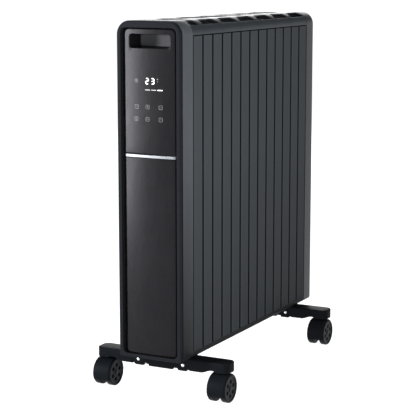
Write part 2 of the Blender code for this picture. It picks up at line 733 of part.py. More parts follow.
def make_bracket(name, middle, finish):
    """A bar under the body, forked at each end to hold the folding arms."""
    top = BODY_Z - CLEARANCE
    bottom = top - BRACKET_HEIGHT
    half = SHOULDER_X
    drop = EAR_RADIUS
    reach = math.sqrt(max(drop ** 2 - (PIVOT_Z - bottom) ** 2, 0.0))
    lowest = math.degrees(math.atan2(bottom - PIVOT_Z, reach))
    ear = arc((PIVOT_X, PIVOT_Z), drop, lowest, 0, 5)
    mouth = (NOTCH_WIDTH + NOTCH_DEPTH) / 2
    notch = [(NOTCH_X - mouth, bottom), (NOTCH_X - NOTCH_WIDTH / 2, bottom + NOTCH_DEPTH),
             (NOTCH_X + NOTCH_WIDTH / 2, bottom + NOTCH_DEPTH), (NOTCH_X + mouth, bottom)]
    right = notch + ear + [(half, top)]
    outline = right + [(-x, z) for x, z in reversed(right)]
    front = middle - FOOT_DEPTH / 2
    back = middle + FOOT_DEPTH / 2
    bracket = prism_object(name, outline, "y", front, back, finish)
    slot_half = TONGUE_WIDTH / 2 + CLEARANCE
    for side, word in ((1, "right"), (-1, "left")):
        inner = side * (PIVOT_X - EAR_RADIUS)
        outer = side * (half + FOOT_DEPTH)
        near = (min(inner, outer), middle - slot_half, bottom - BRACKET_HEIGHT)
        far = (max(inner, outer), middle + slot_half, top + BRACKET_HEIGHT)
        cut(bracket, rounded_box(name + "_slot_" + word, near, far, None))
        bore = cylinder(name + "_bore_" + word, PIVOT_RADIUS + CLEARANCE, "y", front - PIVOT_RADIUS,
                        back + PIVOT_RADIUS, (side * PIVOT_X, 0, PIVOT_Z), PIN_STEPS)
        cut(bracket, bore)


def make_pivot_pin(name, side, middle, finish):
    """A rivet through the bracket's ears and the arm's tongue, on the fold axis."""
    end = FOOT_DEPTH / 2 + CLEARANCE
    head = end + PIVOT_HEAD
    crown = PIVOT_HEAD_RADIUS - PIVOT_HEAD / 2
    profile = [(crown, -head), (PIVOT_HEAD_RADIUS, -end), (PIVOT_RADIUS, -end), (PIVOT_RADIUS, end),
               (PIVOT_HEAD_RADIUS, end), (crown, head)]
    turned_object(name, profile, "y", PIN_STEPS, finish, centre=(side * PIVOT_X, middle, PIVOT_Z))


def make_arm(name, side, hinge, finish):
    """A folding arm in the hinge's own frame: tongue, tapering bar and caster boss."""
    top = PIVOT_DROP
    boss_x = CASTER_X - PIVOT_X
    shoulder = EAR_RADIUS + CLEARANCE
    end = boss_x + ARM_REACH
    root = shoulder + ARM_ROOT_LENGTH
    waist = ARM_WAIST_X - PIVOT_X
    front_view = [(shoulder, top), (shoulder, top - ARM_ROOT_HEIGHT), (root, top - ARM_ROOT_HEIGHT),
                  (waist, top - ARM_WAIST_HEIGHT), (end, top - ARM_WAIST_HEIGHT), (end, top)]
    half = FOOT_DEPTH / 2
    bar = prism_object(name, [(side * x, z) for x, z in front_view], "y", -half, half, finish, hinge)
    corner = ARM_END_RADIUS
    plan = [(0, -half), (end - corner, -half)] + arc((end - corner, -half + corner), corner, -90, 0, 4)[1:]
    plan += arc((end - corner, half - corner), corner, 0, 90, 4) + [(0, half)]
    trim = prism_object(name + "_trim", [(side * x, y) for x, y in plan], "z", -2 * half, 2 * half)
    cut(bar, trim, "INTERSECT")
    boss = cylinder(name + "_boss", BOSS_RADIUS, "z", top - BOSS_HEIGHT, top - ARM_WAIST_HEIGHT / 2,
                    (side * boss_x, 0, 0), 16)
    cut(bar, boss, "UNION")
    radius = TONGUE_RADIUS
    tongue_view = [(shoulder + ARM_ROOT_LENGTH / 2, -radius), (shoulder + ARM_ROOT_LENGTH / 2, radius)]
    tongue_view += arc((0, 0), radius, 90, 270, 8)
    tongue = prism_object(name + "_tongue", [(side * x, z) for x, z in tongue_view], "y",
                          -TONGUE_WIDTH / 2, TONGUE_WIDTH / 2)
    cut(bar, tongue, "UNION")
    cut(bar, cylinder(name + "_bore", PIVOT_RADIUS + CLEARANCE, "y", -2 * half, 2 * half, (0, 0, 0),
                      PIN_STEPS))
    socket = cylinder(name + "_socket", STEM_RADIUS + CLEARANCE, "z", top - 2 * BOSS_HEIGHT,
                      top - BOSS_HEIGHT + STEM_IN_ARM + CLEARANCE, (side * boss_x, 0, 0), PIN_STEPS)
    cut(bar, socket)
    smooth(bar)


def hood_outline():
    """The fender in side view, seen along the axle, as one closed band."""
    outer = arc((0, 0), FENDER_RADIUS, FENDER_FRONT_ANGLE, FENDER_REAR_ANGLE, FENDER_STEPS)
    inner = arc((0, 0), FENDER_RADIUS - FENDER_WALL, FENDER_REAR_ANGLE, FENDER_FRONT_ANGLE, FENDER_STEPS)
    return [(-y, z) for y, z in outer + inner]


def web_outline():
    """The plate between the wheels: the axle's boss widening up to the fender."""
    low = math.degrees(math.asin(min(HUB_PLATE_RADIUS / FENDER_RADIUS, 0.9)))
    inside = FENDER_RADIUS - FENDER_WALL / 2
    upper = arc((0, 0), inside, WEB_ANGLE, 180 - WEB_ANGLE, 8)
    lower = arc((0, 0), HUB_PLATE_RADIUS, 180 + low, 360 - low, 6)
    return upper + lower


def make_hood(name, swivel, finish):
    """The caster's body in the swivel's frame: fender, middle plate and bores."""
    axle = AXLE_Z - BOSS_Z
    width = CASTER_HALF_WIDTH - FENDER_SETBACK
    band = [(y - CASTER_TRAIL, z + axle) for y, z in hood_outline()]
    hood = prism_object(name, band, "x", -width, width, finish, swivel)
    plate_half = WHEEL_TO_WHEEL / 2 - 2 * CLEARANCE
    plate = [(y - CASTER_TRAIL, z + axle) for y, z in web_outline()]
    cut(hood, prism_object(name + "_plate", plate, "x", -plate_half, plate_half), "UNION")
    cut(hood, cylinder(name + "_axle_bore", AXLE_RADIUS + CLEARANCE, "x", -2 * width, 2 * width,
                       (0, -CASTER_TRAIL, axle), PIN_STEPS))
    cut(hood, cylinder(name + "_stem_bore", STEM_RADIUS + CLEARANCE, "z", -STEM_IN_HOOD - CLEARANCE,
                       BOSS_HEIGHT, (0, 0, -SWIVEL_GAP), PIN_STEPS))
    smooth(hood)


def make_wheel(name, side, spin, finish):
    """One wheel in the axle's frame, dished outside and bored from its inner face."""
    inner = WHEEL_TO_WHEEL / 2
    outer = CASTER_HALF_WIDTH
    bore_end = outer - WHEEL_CAP
    bore = AXLE_RADIUS + CLEARANCE
    rim = WHEEL_RADIUS
    profile = [(bore, bore_end), (bore, inner), (rim - WHEEL_EDGE, inner), (rim, inner + WHEEL_EDGE),
               (rim, outer - WHEEL_EDGE), (rim - WHEEL_EDGE, outer), (rim - WHEEL_RIM, outer),
               (rim - WHEEL_RIM - WHEEL_EDGE, outer - WHEEL_DISH)]
    turned_object(name, [(radius, side * x) for radius, x in profile], "x", WHEEL_STEPS, finish, spin)


def make_caster(prefix, side, hinge, plastic, tyre, metal):
    """Hood, stem, axle and two wheels on their swivel and spin axes."""
    swivel = pivot(prefix + "_swivel", (side * (CASTER_X - PIVOT_X), 0, BOSS_Z - PIVOT_Z), hinge)
    make_hood(prefix + "_caster_hood", swivel, plastic)
    low = -SWIVEL_GAP - STEM_IN_HOOD
    edge = STEM_EDGE
    stem = [(STEM_RADIUS - edge, low), (STEM_RADIUS, low + edge), (STEM_RADIUS, STEM_IN_ARM - edge),
            (STEM_RADIUS - edge, STEM_IN_ARM)]
    turned_object(prefix + "_caster_stem", stem, "z", PIN_STEPS, metal, swivel)
    spin = pivot(prefix + "_spin", (0, -CASTER_TRAIL, AXLE_Z - BOSS_Z), swivel)
    reach = CASTER_HALF_WIDTH - WHEEL_CAP - CLEARANCE
    turned_object(prefix + "_axle", [(AXLE_RADIUS, -reach), (AXLE_RADIUS, reach)], "x", PIN_STEPS,
                  metal, spin)
    make_wheel(prefix + "_wheel_right", 1, spin, tyre)
    make_wheel(prefix + "_wheel_left", -1, spin, tyre)


def make_feet(plastic, tyre, metal):
    """Both brackets with their arms, pins and casters."""
    for end, middle in (("front", FRONT_Y + FRONT_FOOT_INSET), ("rear", BACK_Y - REAR_FOOT_INSET)):
        make_bracket(end + "_bracket", middle, plastic)
        for word, side in (("right", 1), ("left", -1)):
            prefix = end + "_" + word
            make_pivot_pin(prefix + "_pivot_pin", side, middle, metal)
            hinge = pivot(prefix + "_fold", (side * PIVOT_X, middle, PIVOT_Z))
            make_arm(prefix + "_arm", side, hinge, plastic)
            make_caster(prefix, side, hinge, plastic, tyre, metal)


# ---------------------------------------------------------------- the heater

def build():
    """Make every piece of the heater."""
    clear_scene()
    finish = make_materials()
    make_front_bezel(finish["satin_shell"])
    make_control_housing(finish["satin_shell"])
    make_panels(finish["gloss_panel"], finish["bright_strip"])
    make_grip_pocket(finish["inner_black"])
    make_back_plate(finish["inner_black"])
    make_boards(finish["board"])
    make_safety_parts(finish["inner_black"])
    make_heating_element(finish["steel"])
    make_cord_gland(finish["inner_black"])
    make_fins(finish["painted_fin"])
    make_bottom_rails(finish["painted_fin"])
    make_top_cover(finish["satin_shell"])
    make_rear_cover(finish["satin_shell"])
    make_feet(finish["foot_plastic"], finish["wheel_plastic"], finish["steel"])


build()
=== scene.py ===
"""Oil filled radiator heater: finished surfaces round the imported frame.

Shapes are worked out in millimetres in the frame's axes: +X is the heater's right as seen
from the control panel, which faces -Y, and z is 0 on the floor.
"""

import math

import bmesh
import bpy
import numpy as np
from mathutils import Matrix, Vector


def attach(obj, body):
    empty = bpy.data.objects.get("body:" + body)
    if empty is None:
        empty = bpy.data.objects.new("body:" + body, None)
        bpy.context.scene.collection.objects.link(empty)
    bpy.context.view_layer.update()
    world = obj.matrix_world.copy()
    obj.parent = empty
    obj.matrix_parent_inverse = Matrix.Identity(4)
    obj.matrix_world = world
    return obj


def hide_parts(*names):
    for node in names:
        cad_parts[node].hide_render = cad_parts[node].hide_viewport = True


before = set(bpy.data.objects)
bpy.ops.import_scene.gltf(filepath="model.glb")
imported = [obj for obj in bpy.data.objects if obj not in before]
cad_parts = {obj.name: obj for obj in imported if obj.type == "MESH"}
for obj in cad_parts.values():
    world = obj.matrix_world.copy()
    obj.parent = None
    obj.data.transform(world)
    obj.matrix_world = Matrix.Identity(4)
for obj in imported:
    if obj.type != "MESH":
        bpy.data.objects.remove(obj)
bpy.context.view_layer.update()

# ---------------------------------------------------------------- camera, floor and light
# The heater stands on a wide pale floor with a low pale wall far round it, seen from past its
# right front corner with a long lens. Large soft panels light it from both sides and above.

CAMERA_PLACE = (1.20292, -2.38500, 0.75331)
CAMERA_AIM = (-0.0321, -0.0015, 0.2974)
CAMERA_LENS = 124.19
FLOOR_HALF = 20.0
BACKDROP_HEIGHT = 3.5
FLOOR_GLOW = 0.95
WORLD_GLOW = 0.25


def aim_at(thing, place, aim):
    """Stands a camera or a light at place, facing aim, and adds it to the scene."""
    thing.location = place
    thing.rotation_mode = "QUATERNION"
    thing.rotation_quaternion = (Vector(aim) - Vector(place)).to_track_quat("-Z", "Y")
    bpy.context.scene.collection.objects.link(thing)


camera = bpy.data.objects.new("camera", bpy.data.cameras.new("camera"))
camera.data.lens = CAMERA_LENS
camera.data.sensor_width = 36.0
camera.data.clip_end = 200.0
aim_at(camera, CAMERA_PLACE, CAMERA_AIM)
bpy.context.scene.camera = camera
bpy.context.scene.view_settings.view_transform = "Standard"


def start_material(name):
    """An empty node material and its Principled shader."""
    material = bpy.data.materials.new(name)
    material.use_nodes = True
    return material, material.node_tree.nodes["Principled BSDF"]


def noise(material, grain, detail=3.0, stretch=(1.0, 1.0, 1.0)):
    """Noise on Object coordinates whose blotches are about grain millimetres across.

    stretch multiplies the coordinates first, so a small value along an axis draws the
    blotches out along it.
    """
    nodes, links = material.node_tree.nodes, material.node_tree.links
    place = nodes.new("ShaderNodeTexCoord")
    turn = nodes.new("ShaderNodeMapping")
    turn.inputs["Scale"].default_value = stretch
    texture = nodes.new("ShaderNodeTexNoise")
    texture.inputs["Scale"].default_value = 1000.0 / grain
    texture.inputs["Detail"].default_value = detail
    links.new(place.outputs["Object"], turn.inputs["Vector"])
    links.new(turn.outputs["Vector"], texture.inputs["Vector"])
    return texture.outputs["Fac"]


def spread(material, source, low, high, start=0.3, end=0.7):
    """Carries source from start..end onto low..high, and holds it there beyond."""
    node = material.node_tree.nodes.new("ShaderNodeMapRange")
    node.inputs["From Min"].default_value = start
    node.inputs["From Max"].default_value = end
    node.inputs["To Min"].default_value = low
    node.inputs["To Max"].default_value = high
    material.node_tree.links.new(source, node.inputs["Value"])
    return node.outputs["Result"]


def between(material, share, first, second):
    """A colour that goes from first to second as share goes from 0 to 1."""
    node = material.node_tree.nodes.new("ShaderNodeMix")
    node.data_type = "RGBA"
    colours = [socket for socket in node.inputs if socket.type == "RGBA"]
    for socket, colour in zip(colours, (first, second)):
        if isinstance(colour, tuple):
            socket.default_value = (*colour, 1.0)
        else:
            material.node_tree.links.new(colour, socket)
    material.node_tree.links.new(share, node.inputs["Factor"])
    return next(socket for socket in node.outputs if socket.type == "RGBA")


def bumped(material, shader, height, depth):
    """Raises the surface by depth millimetres where height is 1."""
    node = material.node_tree.nodes.new("ShaderNodeBump")
    node.inputs["Distance"].default_value = depth / 1000.0
    node.inputs["Strength"].default_value = 1.0
    material.node_tree.links.new(height, node.inputs["Height"])
    material.node_tree.links.new(node.outputs["Normal"], shader.inputs["Normal"])


def tinted(material, shader, source, first, second, socket="Base Color"):
    """Leads a colour of the shader from first to second as source goes from low to high."""
    mixed = between(material, spread(material, source, 0.0, 1.0), first, second)
    material.node_tree.links.new(mixed, shader.inputs[socket])


def glossed(material, shader, source, low, high):
    """Lets the shader's roughness wander from low to high with source."""
    material.node_tree.links.new(spread(material, source, low, high), shader.inputs["Roughness"])


def moulded(name, colour, edge_highlight, roughness, grain, depth, specular, tint=(1.0, 1.0, 1.0),
            shaded_low_colour=None):
    """A moulded or painted surface: fine grain, uneven gloss, faint clouds and paler edges.

    Colour is colour, darkened by up to a tenth in clouds 40 mm across. Where the surface turns
    outwards sharply it goes to a paler colour, a painted highlight for light caught on rounded
    edges, and where a low colour is given it darkens to it from 420 mm down to the floor, as
    painted shade. Roughness wanders by a tenth either way.
    """
    material, shader = start_material(name)
    tree = material.node_tree
    clouds = spread(material, noise(material, 40.0), 0.0, 1.0)
    darker = tuple(channel * 0.9 for channel in colour)
    body = between(material, clouds, darker, colour)
    # Painted shade: from 420 mm down to the floor the colour darkens towards the low colour, as the light
    # falls off low down.
    if shaded_low_colour is not None:
        height = tree.nodes.new("ShaderNodeSeparateXYZ")
        tree.links.new(tree.nodes.new("ShaderNodeTexCoord").outputs["Object"], height.inputs["Vector"])
        unshaded_share = spread(material, height.outputs["Z"], 0.0, 1.0, 0.04, 0.42)
        body = between(material, unshaded_share, shaded_low_colour, body)
    # Painted highlight: the colour goes paler where the surface turns outwards sharply, as light caught on
    # rounded edges would look.
    edge = tree.nodes.new("ShaderNodeNewGeometry").outputs["Pointiness"]
    edge_highlight_share = spread(material, edge, 0.0, 1.0, 0.52, 0.62)
    tree.links.new(between(material, edge_highlight_share, body, edge_highlight), shader.inputs["Base Color"])
    glossed(material, shader, noise(material, 9.0, 4.0), roughness * 0.9, roughness * 1.1)
    shader.inputs["Specular IOR Level"].default_value = specular
    shader.inputs["Specular Tint"].default_value = (*tint, 1.0)
    bumped(material, shader, noise(material, grain, 2.0), depth)
    return material


floor_material, floor_shader = start_material("floor_white")
tinted(floor_material, floor_shader, noise(floor_material, 600.0), (0.32, 0.32, 0.32), (0.34, 0.34, 0.34))
floor_shader.inputs["Roughness"].default_value = 0.9
floor_shader.inputs["Specular IOR Level"].default_value = 0.0
floor_shader.inputs["Emission Color"].default_value = (1.0, 1.0, 1.0, 1.0)
floor_shader.inputs["Emission Strength"].default_value = FLOOR_GLOW

floor_mesh = bpy.data.meshes.new("floor")
floor_corners = [(-FLOOR_HALF, -FLOOR_HALF), (FLOOR_HALF, -FLOOR_HALF), (FLOOR_HALF, FLOOR_HALF),
                 (-FLOOR_HALF, FLOOR_HALF)]
floor_mesh.from_pydata([(x, y, z) for z in (0.0, BACKDROP_HEIGHT) for x, y in floor_corners], [],
                       [(0, 1, 2, 3), (0, 4, 5, 1), (1, 5, 6, 2), (2, 6, 7, 3), (3, 7, 4, 0)])
floor = bpy.data.objects.new("floor", floor_mesh)
floor_mesh.materials.append(floor_material)
bpy.context.scene.collection.objects.link(floor)

world = bpy.data.worlds.new("studio")
world.use_nodes = True
world.node_tree.nodes["Background"].inputs["Color"].default_value = (1.0, 1.0, 1.0, 1.0)
world.node_tree.nodes["Background"].inputs["Strength"].default_value = WORLD_GLOW
bpy.context.scene.world = world


def light_panel(name, place, aim, width, height, radiance):
    """A soft panel of light at place, facing aim, whose face shines at radiance.

    An area light's power is its radiance times its area times pi.
    """
    data = bpy.data.lights.new(name, "AREA")
    data.shape = "RECTANGLE"
    data.size = width
    data.size_y = height
    data.energy = radiance * width * height * math.pi
    lamp = bpy.data.objects.new(name, data)
    lamp.visible_camera = False
    aim_at(lamp, place, aim)


light_panel("overhead_panel", (0.3, -0.2, 2.6), (0.0, 0.0, 0.3), 2.4, 2.4, 0.8)
light_panel("left_panel", (-1.42, -1.68, 0.66), (0.0, -0.28, 0.35), 0.4, 1.6, 58.0)
light_panel("back_panel", (-1.8, 3.4, 1.35), (0.0, 0.0, 0.6), 3.2, 1.5, 4.0)
light_panel("right_panel", (0.80, -0.75, 0.55), (0.06, -0.15, 0.42), 0.5, 0.6, 12.0)

# ---------------------------------------------------------------- fins
# Each fin is two pressed steel sheets welded round two upright oil columns. Their edges are
# folded back into a flat front that hides the web, rolled at the corners and powder coated.

FIN_COUNT = 13
FIN_PITCH = 37.0
FIRST_FIN_Y = -216.4
FIN_LOW_Z = 83.4
FIN_HIGH_Z = 633.3
FIN_HALF_WIDTH = 61.5
FIN_HALF_DEPTH = 15.6
FIN_ROLL = 1.3
FIN_SHEET = 1.0
FIN_LIP = 9.0
WEB_HALF = 1.0
COLUMN_X = 34.0
COLUMN_HALF_WIDTH = 11.0
COLUMN_SWELL = 4.5
HEADER_RADIUS = 17.0
HEADER_BORE = 12.0
HEADER_BEAD = 0.8
HEADER_HALF = 18.35
HEADER_HEIGHTS = (125.4, 592.2)

COOL = (0.82, 0.93, 1.0)
FIN_COLOUR = (0.0310, 0.0340, 0.0372)
# Painted highlight for the fins' rounded edges.
FIN_EDGE_HIGHLIGHT = (0.038, 0.042, 0.046)
# Painted shade that darkens the fins towards the floor.
FIN_SHADED_LOW_COLOUR = (0.0040, 0.0044, 0.0052)
# Painted shade for the faces deep in the slits between the fins.
FOLD_SHADE_COLOUR = (0.0035, 0.0038, 0.0040)
FACE_DEPTH = 0.6


def arc(centre, radius, start, end, steps):
    """steps + 1 points at radius round centre, from start to end degrees, anticlockwise from +x."""
    angle = np.radians(np.linspace(start, end, steps + 1))
    return np.stack([centre[0] + radius * np.cos(angle), centre[1] + radius * np.sin(angle)], axis=1)


def weave(rows, columns, closed_rows, closed_columns):
    """Quads between neighbouring points of a grid, whose point (i, j) has number i * columns + j.

    A closed direction joins its last line of points back to its first.
    """
    i, j = np.meshgrid(np.arange(rows - (not closed_rows)), np.arange(columns - (not closed_columns)),
                       indexing="ij")
    i, j = i.ravel(), j.ravel()
    below, beside = (i + 1) % rows, (j + 1) % columns
    return np.stack([i * columns + j, i * columns + beside, below * columns + beside, below * columns + j],
                    axis=1).tolist()


def skin(grid, closed_rows=False, closed_columns=True, first_cap=False, last_cap=False):
    """A grid of points (rows, columns, 3) as points and faces, with flat caps on its end rows."""
    rows, columns = grid.shape[:2]
    faces = weave(rows, columns, closed_rows, closed_columns)
    if first_cap:
        faces.append(list(range(columns)))
    if last_cap:
        faces.append(list(range((rows - 1) * columns, rows * columns)))
    return grid.reshape(-1, 3), faces


def add_piece(name, parts, material, body, stands_for, crease=38.0):
    """One object from parts, each (points, faces) in millimetres, with its place in its mesh.

    Points closer than a micrometre become one, every face is turned outwards, and edges
    where faces meet at more than crease degrees stay sharp.
    """
    points, faces, start = [], [], 0
    for part_points, part_faces in parts:
        points.append(part_points)
        faces += [[start + corner for corner in face] for face in part_faces]
        start += len(part_points)
    mesh = bpy.data.meshes.new(name)
    mesh.from_pydata((np.concatenate(points) / 1000.0).tolist(), [], faces)
    work = bmesh.new()
    work.from_mesh(mesh)
    bmesh.ops.remove_doubles(work, verts=work.verts, dist=1e-6)
    bmesh.ops.dissolve_degenerate(work, edges=work.edges, dist=1e-6)
    bmesh.ops.recalc_face_normals(work, faces=work.faces)
    work.to_mesh(mesh)
    work.free()
    mesh.polygons.foreach_set("use_smooth", np.ones(len(mesh.polygons), dtype=bool))
    mesh.set_sharp_from_angle(angle=math.radians(crease))
    mesh.materials.append(material)
    piece = bpy.data.objects.new(name, mesh)
    bpy.context.scene.collection.objects.link(piece)
    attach(piece, body)
    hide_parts(*stands_for)
    return piece


def turned(profile, centre, axis, steps, closed_profile=True, first_cap=False, last_cap=False):
    """A profile of (radius, station) pairs carried round an axis through centre.

    Point (i, j) lies at station i along the axis, and at radius i in the direction of
    angle 2 pi j / steps in the plane across it.
    """
    profile = np.asarray(profile, dtype=float)
    angle = np.arange(steps) * (2.0 * np.pi / steps)
    radius, station = profile[:, :1], profile[:, 1:] + np.zeros(steps)
    across, up = radius * np.cos(angle), radius * np.sin(angle)
    order = {"x": (station, across, up), "y": (across, station, up), "z": (across, up, station)}[axis]
    grid = np.stack(order, axis=2) + np.asarray(centre, dtype=float)
    return skin(grid, closed_profile, True, first_cap, last_cap)


def prism(outline, axis, low, high, edge=0.0, steps=3):
    """A closed outline carried from low to high along an axis, its two rims rounded by edge.

    Each rim's rings lie on a quarter circle of radius edge: drawn in by edge * (1 - cos t)
    and back from the end by edge * (1 - sin t).
    """
    turn = np.linspace(np.pi / 2.0, 0.0, steps + 1) if edge > 0.0 else np.zeros(1)
    drawn_in = edge * (1.0 - np.cos(turn))
    set_back = edge * (1.0 - np.sin(turn))
    insets = np.concatenate([drawn_in, drawn_in[::-1]])
    stations = np.concatenate([low + set_back, (high - set_back)[::-1]])
    rings = []
    for inset, station in zip(insets, stations):
        ring = drawn(outline, inset)
        along = np.full(len(ring), station)
        first, second = ring[:, 0], ring[:, 1]
        rings.append(np.stack({"x": (along, first, second), "y": (first, along, second),
                               "z": (first, second, along)}[axis], axis=1))
    return skin(np.stack(rings), False, True, True, True)


def drawn(outline, inset):
    """An anticlockwise outline with every point moved inwards by inset.

    A point moves along the mean of its two edges' normals, by inset over the cosine of half
    the turn there, so that straight sides stay parallel.
    """
    if inset == 0.0:
        return outline
    ahead = np.roll(outline, -1, axis=0) - outline
    ahead /= np.linalg.norm(ahead, axis=1, keepdims=True)
    behind = np.roll(ahead, 1, axis=0)
    normal = np.stack([-(ahead + behind)[:, 1], (ahead + behind)[:, 0]], axis=1)
    normal /= np.linalg.norm(normal, axis=1, keepdims=True)
    across = np.stack([-ahead[:, 1], ahead[:, 0]], axis=1)
    return outline + normal * inset / np.maximum((normal * across).sum(axis=1, keepdims=True), 0.5)


def fin_section():
    """The fin cut across, as a closed outline in x and y.

    Its web is WEB_HALF thick each way and swells by COLUMN_SWELL * cos^2(pi u / 2) over each
    oil column, u being -1 to 1 across it. At each end it runs into a flat front that turns
    back through FIN_ROLL into two lips.
    """
    corner = FIN_HALF_WIDTH - FIN_ROLL
    turn = FIN_HALF_DEPTH - FIN_ROLL
    inner_roll = FIN_ROLL - FIN_SHEET
    tip = (FIN_HALF_WIDTH - FIN_LIP, FIN_HALF_DEPTH - FIN_SHEET / 2.0)
    inner = arc((corner, -turn), inner_roll, 0.0, -90.0, 4)
    curl = arc((tip[0], -tip[1]), FIN_SHEET / 2.0, 90.0, 270.0, 4)
    outer = arc((corner, -turn), FIN_ROLL, -90.0, 0.0, 6)
    flat = [(FIN_HALF_WIDTH, 1.5 - turn), (FIN_HALF_WIDTH, -1.0)]
    half_front = np.concatenate([inner, curl, outer, flat])
    front = np.concatenate([half_front, half_front[::-1] * (1.0, -1.0)])
    x = np.linspace(FIN_HALF_WIDTH - FIN_SHEET, -FIN_HALF_WIDTH + FIN_SHEET, 81)
    u = np.clip((np.abs(x) - COLUMN_X) / COLUMN_HALF_WIDTH, -1.0, 1.0)
    thick = WEB_HALF + COLUMN_SWELL * np.cos(np.pi * u / 2.0) ** 2
    upper_web = np.stack([x, thick], axis=1)
    return np.concatenate([front, upper_web, -front, -upper_web])


def header(middle_y, height):
    """A short tube round the oil way, with a rounded bead where it is welded to the next."""
    bead = arc((HEADER_RADIUS, 0.0), HEADER_BEAD, 90.0, -90.0, 4) * (1.0, -1.0)
    end = HEADER_HALF - HEADER_BEAD
    profile = [(HEADER_BORE, -HEADER_HALF), *(bead + (0.0, -end)).tolist(), *(bead + (0.0, end)).tolist(),
               (HEADER_BORE, HEADER_HALF)]
    return turned(profile, (0.0, middle_y, height), "y", 40)


def repaint(piece, material, inside):
    """Gives a second material to the faces for which inside, of their centres in millimetres,
    is true."""
    mesh = piece.data
    centres = np.empty(len(mesh.polygons) * 3)
    mesh.polygons.foreach_get("center", centres)
    chosen = inside(centres.reshape(-1, 3) * 1000.0)
    mesh.materials.append(material)
    mesh.polygons.foreach_set("material_index", chosen.astype(np.int32))


# The fins carry painted shade towards the floor and a painted highlight on their edges.
fin_paint = moulded("powder_coat", FIN_COLOUR, FIN_EDGE_HIGHLIGHT, 0.42, 0.9, 0.012, 0.008, COOL, FIN_SHADED_LOW_COLOUR)
fold_shade_paint = moulded("painted_shade_in_folds", FOLD_SHADE_COLOUR, FOLD_SHADE_COLOUR, 0.70, 0.9, 0.012, 0.10)
section = fin_section()
for number in range(FIN_COUNT):
    middle_y = FIRST_FIN_Y + number * FIN_PITCH
    sheet = prism(section + (0.0, middle_y), "z", FIN_LOW_Z, FIN_HIGH_Z)
    tubes = [header(middle_y, height) for height in HEADER_HEIGHTS]
    fin = add_piece("fin_%02d_sheet" % (number + 1), [sheet, *tubes], fin_paint, "root",
                    ["fin_%02d" % (number + 1)])
    # Painted shade: the web, the lips' insides and the headers, deep in the slits between the fins, are
    # painted near black.
    repaint(fin, fold_shade_paint, lambda centre: np.abs(centre[:, 0]) < FIN_HALF_WIDTH - FACE_DEPTH)

# ---------------------------------------------------------------- bottom rails
# Two folded steel channels, coated like the fins, run under them from the controls to the
# rear cover and carry the brackets of the feet.

RAIL_FRONT_Y = -234.6
RAIL_BACK_Y = 245.8
RAIL_INNER_X = 47.5
RAIL_LOW_Z = 72.5
RAIL_HIGH_Z = 83.1
RAIL_BEND = 5.0
RAIL_SHEET = 2.0

bend_x, bend_z = FIN_HALF_WIDTH - RAIL_BEND, RAIL_LOW_Z + RAIL_BEND
half_sheet = RAIL_SHEET / 2.0
upstand_x = RAIL_INNER_X + RAIL_SHEET
rail_outline = np.concatenate([
    [(RAIL_INNER_X, RAIL_LOW_Z)], arc((bend_x, bend_z), RAIL_BEND, -90.0, 0.0, 8),
    arc((FIN_HALF_WIDTH - half_sheet, RAIL_HIGH_Z - half_sheet), half_sheet, 0.0, 180.0, 6),
    arc((bend_x, bend_z), RAIL_BEND - RAIL_SHEET, 0.0, -90.0, 6),
    [(upstand_x, RAIL_LOW_Z + RAIL_SHEET), (upstand_x, RAIL_HIGH_Z), (RAIL_INNER_X, RAIL_HIGH_Z)]])
for word, outline in (("right", rail_outline), ("left", (rail_outline * (-1.0, 1.0))[::-1])):
    add_piece("rail_" + word, [prism(outline, "y", RAIL_FRONT_Y, RAIL_BACK_Y, 0.3)], fin_paint, "root",
              ["bottom_rail_" + word])

# ---------------------------------------------------------------- top cover
# A moulded arch over the fins. Warm air leaves through a row of slanting slots along each
# shoulder and a row of six-sided openings between them, both backed by a fine black grille.

COVER_FRONT_Y = -234.6
COVER_BACK_Y = 245.8
COVER_LOW_Z = 635.2
COVER_HIGH_Z = 660.0
COVER_HALF_WIDTH = 61.5
COVER_SHOULDER = 24.0
COVER_WALL = 2.4
VENT_FIRST_Y = -232.9
VENT_STEP = 37.0
VENT_HALF = 31.5
VENT_SLANT = 7.0
SHOULDER_VENT_OUTER_X = 55.4
SHOULDER_VENT_INNER_X = 42.0
MIDDLE_VENT_HALF = 27.5
MIDDLE_VENT_FLAT = 16.0
VENT_EDGE = 0.9
VENT_CORNER = 2.2
GRILLE_STEP = 4.6
GRILLE_HALF = 0.55
GRILLE_DEPTH = 4.4
GRILLE_REACH = 62.0
GRILLE_BACK_Y = 225.8
BAND_RUN = 33.0
BAND_STEPS = 16
EASE_SPACING = 2.6
VENT_MARGIN = 4.0
CELL_STEPS = 10

shell_plastic = moulded("satin_shell", (0.0165, 0.0200, 0.0235), (0.026, 0.030, 0.034), 0.33, 0.7, 0.010,
                        0.10, COOL)
# Black plastic for inner parts; in the grooves round the bezel it also serves as painted shade.
black_and_groove_shade = moulded("inner_black", (0.004, 0.004, 0.0045), (0.008, 0.008, 0.009), 0.55, 0.6, 0.02, 0.08)

straight = COVER_HIGH_Z - COVER_SHOULDER - COVER_LOW_Z
bend_length = COVER_SHOULDER * math.pi / 2.0
flat_half = COVER_HALF_WIDTH - COVER_SHOULDER
arch_half = straight + bend_length + flat_half


def on_arch(run, y, depth):
    """Points of the cover at run millimetres along its section from the middle of the top,
    to the right where run is positive, at y, and depth millimetres below its outer face.

    The section is flat for flat_half, then turns down through a quarter circle, then drops
    straight.
    """
    side = np.sign(run)
    past = np.abs(run) - flat_half
    turn = np.clip(past / COVER_SHOULDER, 0.0, np.pi / 2.0)
    flat = np.minimum(past, 0.0)
    drop = np.maximum(past - bend_length, 0.0)
    reach = COVER_SHOULDER - depth
    x = side * (flat_half + flat + reach * np.sin(turn))
    z = COVER_HIGH_Z - COVER_SHOULDER + reach * np.cos(turn) - drop
    return np.stack([x, y + np.zeros_like(x), z], axis=-1)


def run_at(x):
    """How far along the cover's section a point of its shoulder at x lies."""
    return flat_half + COVER_SHOULDER * math.asin((x - flat_half) / COVER_SHOULDER)


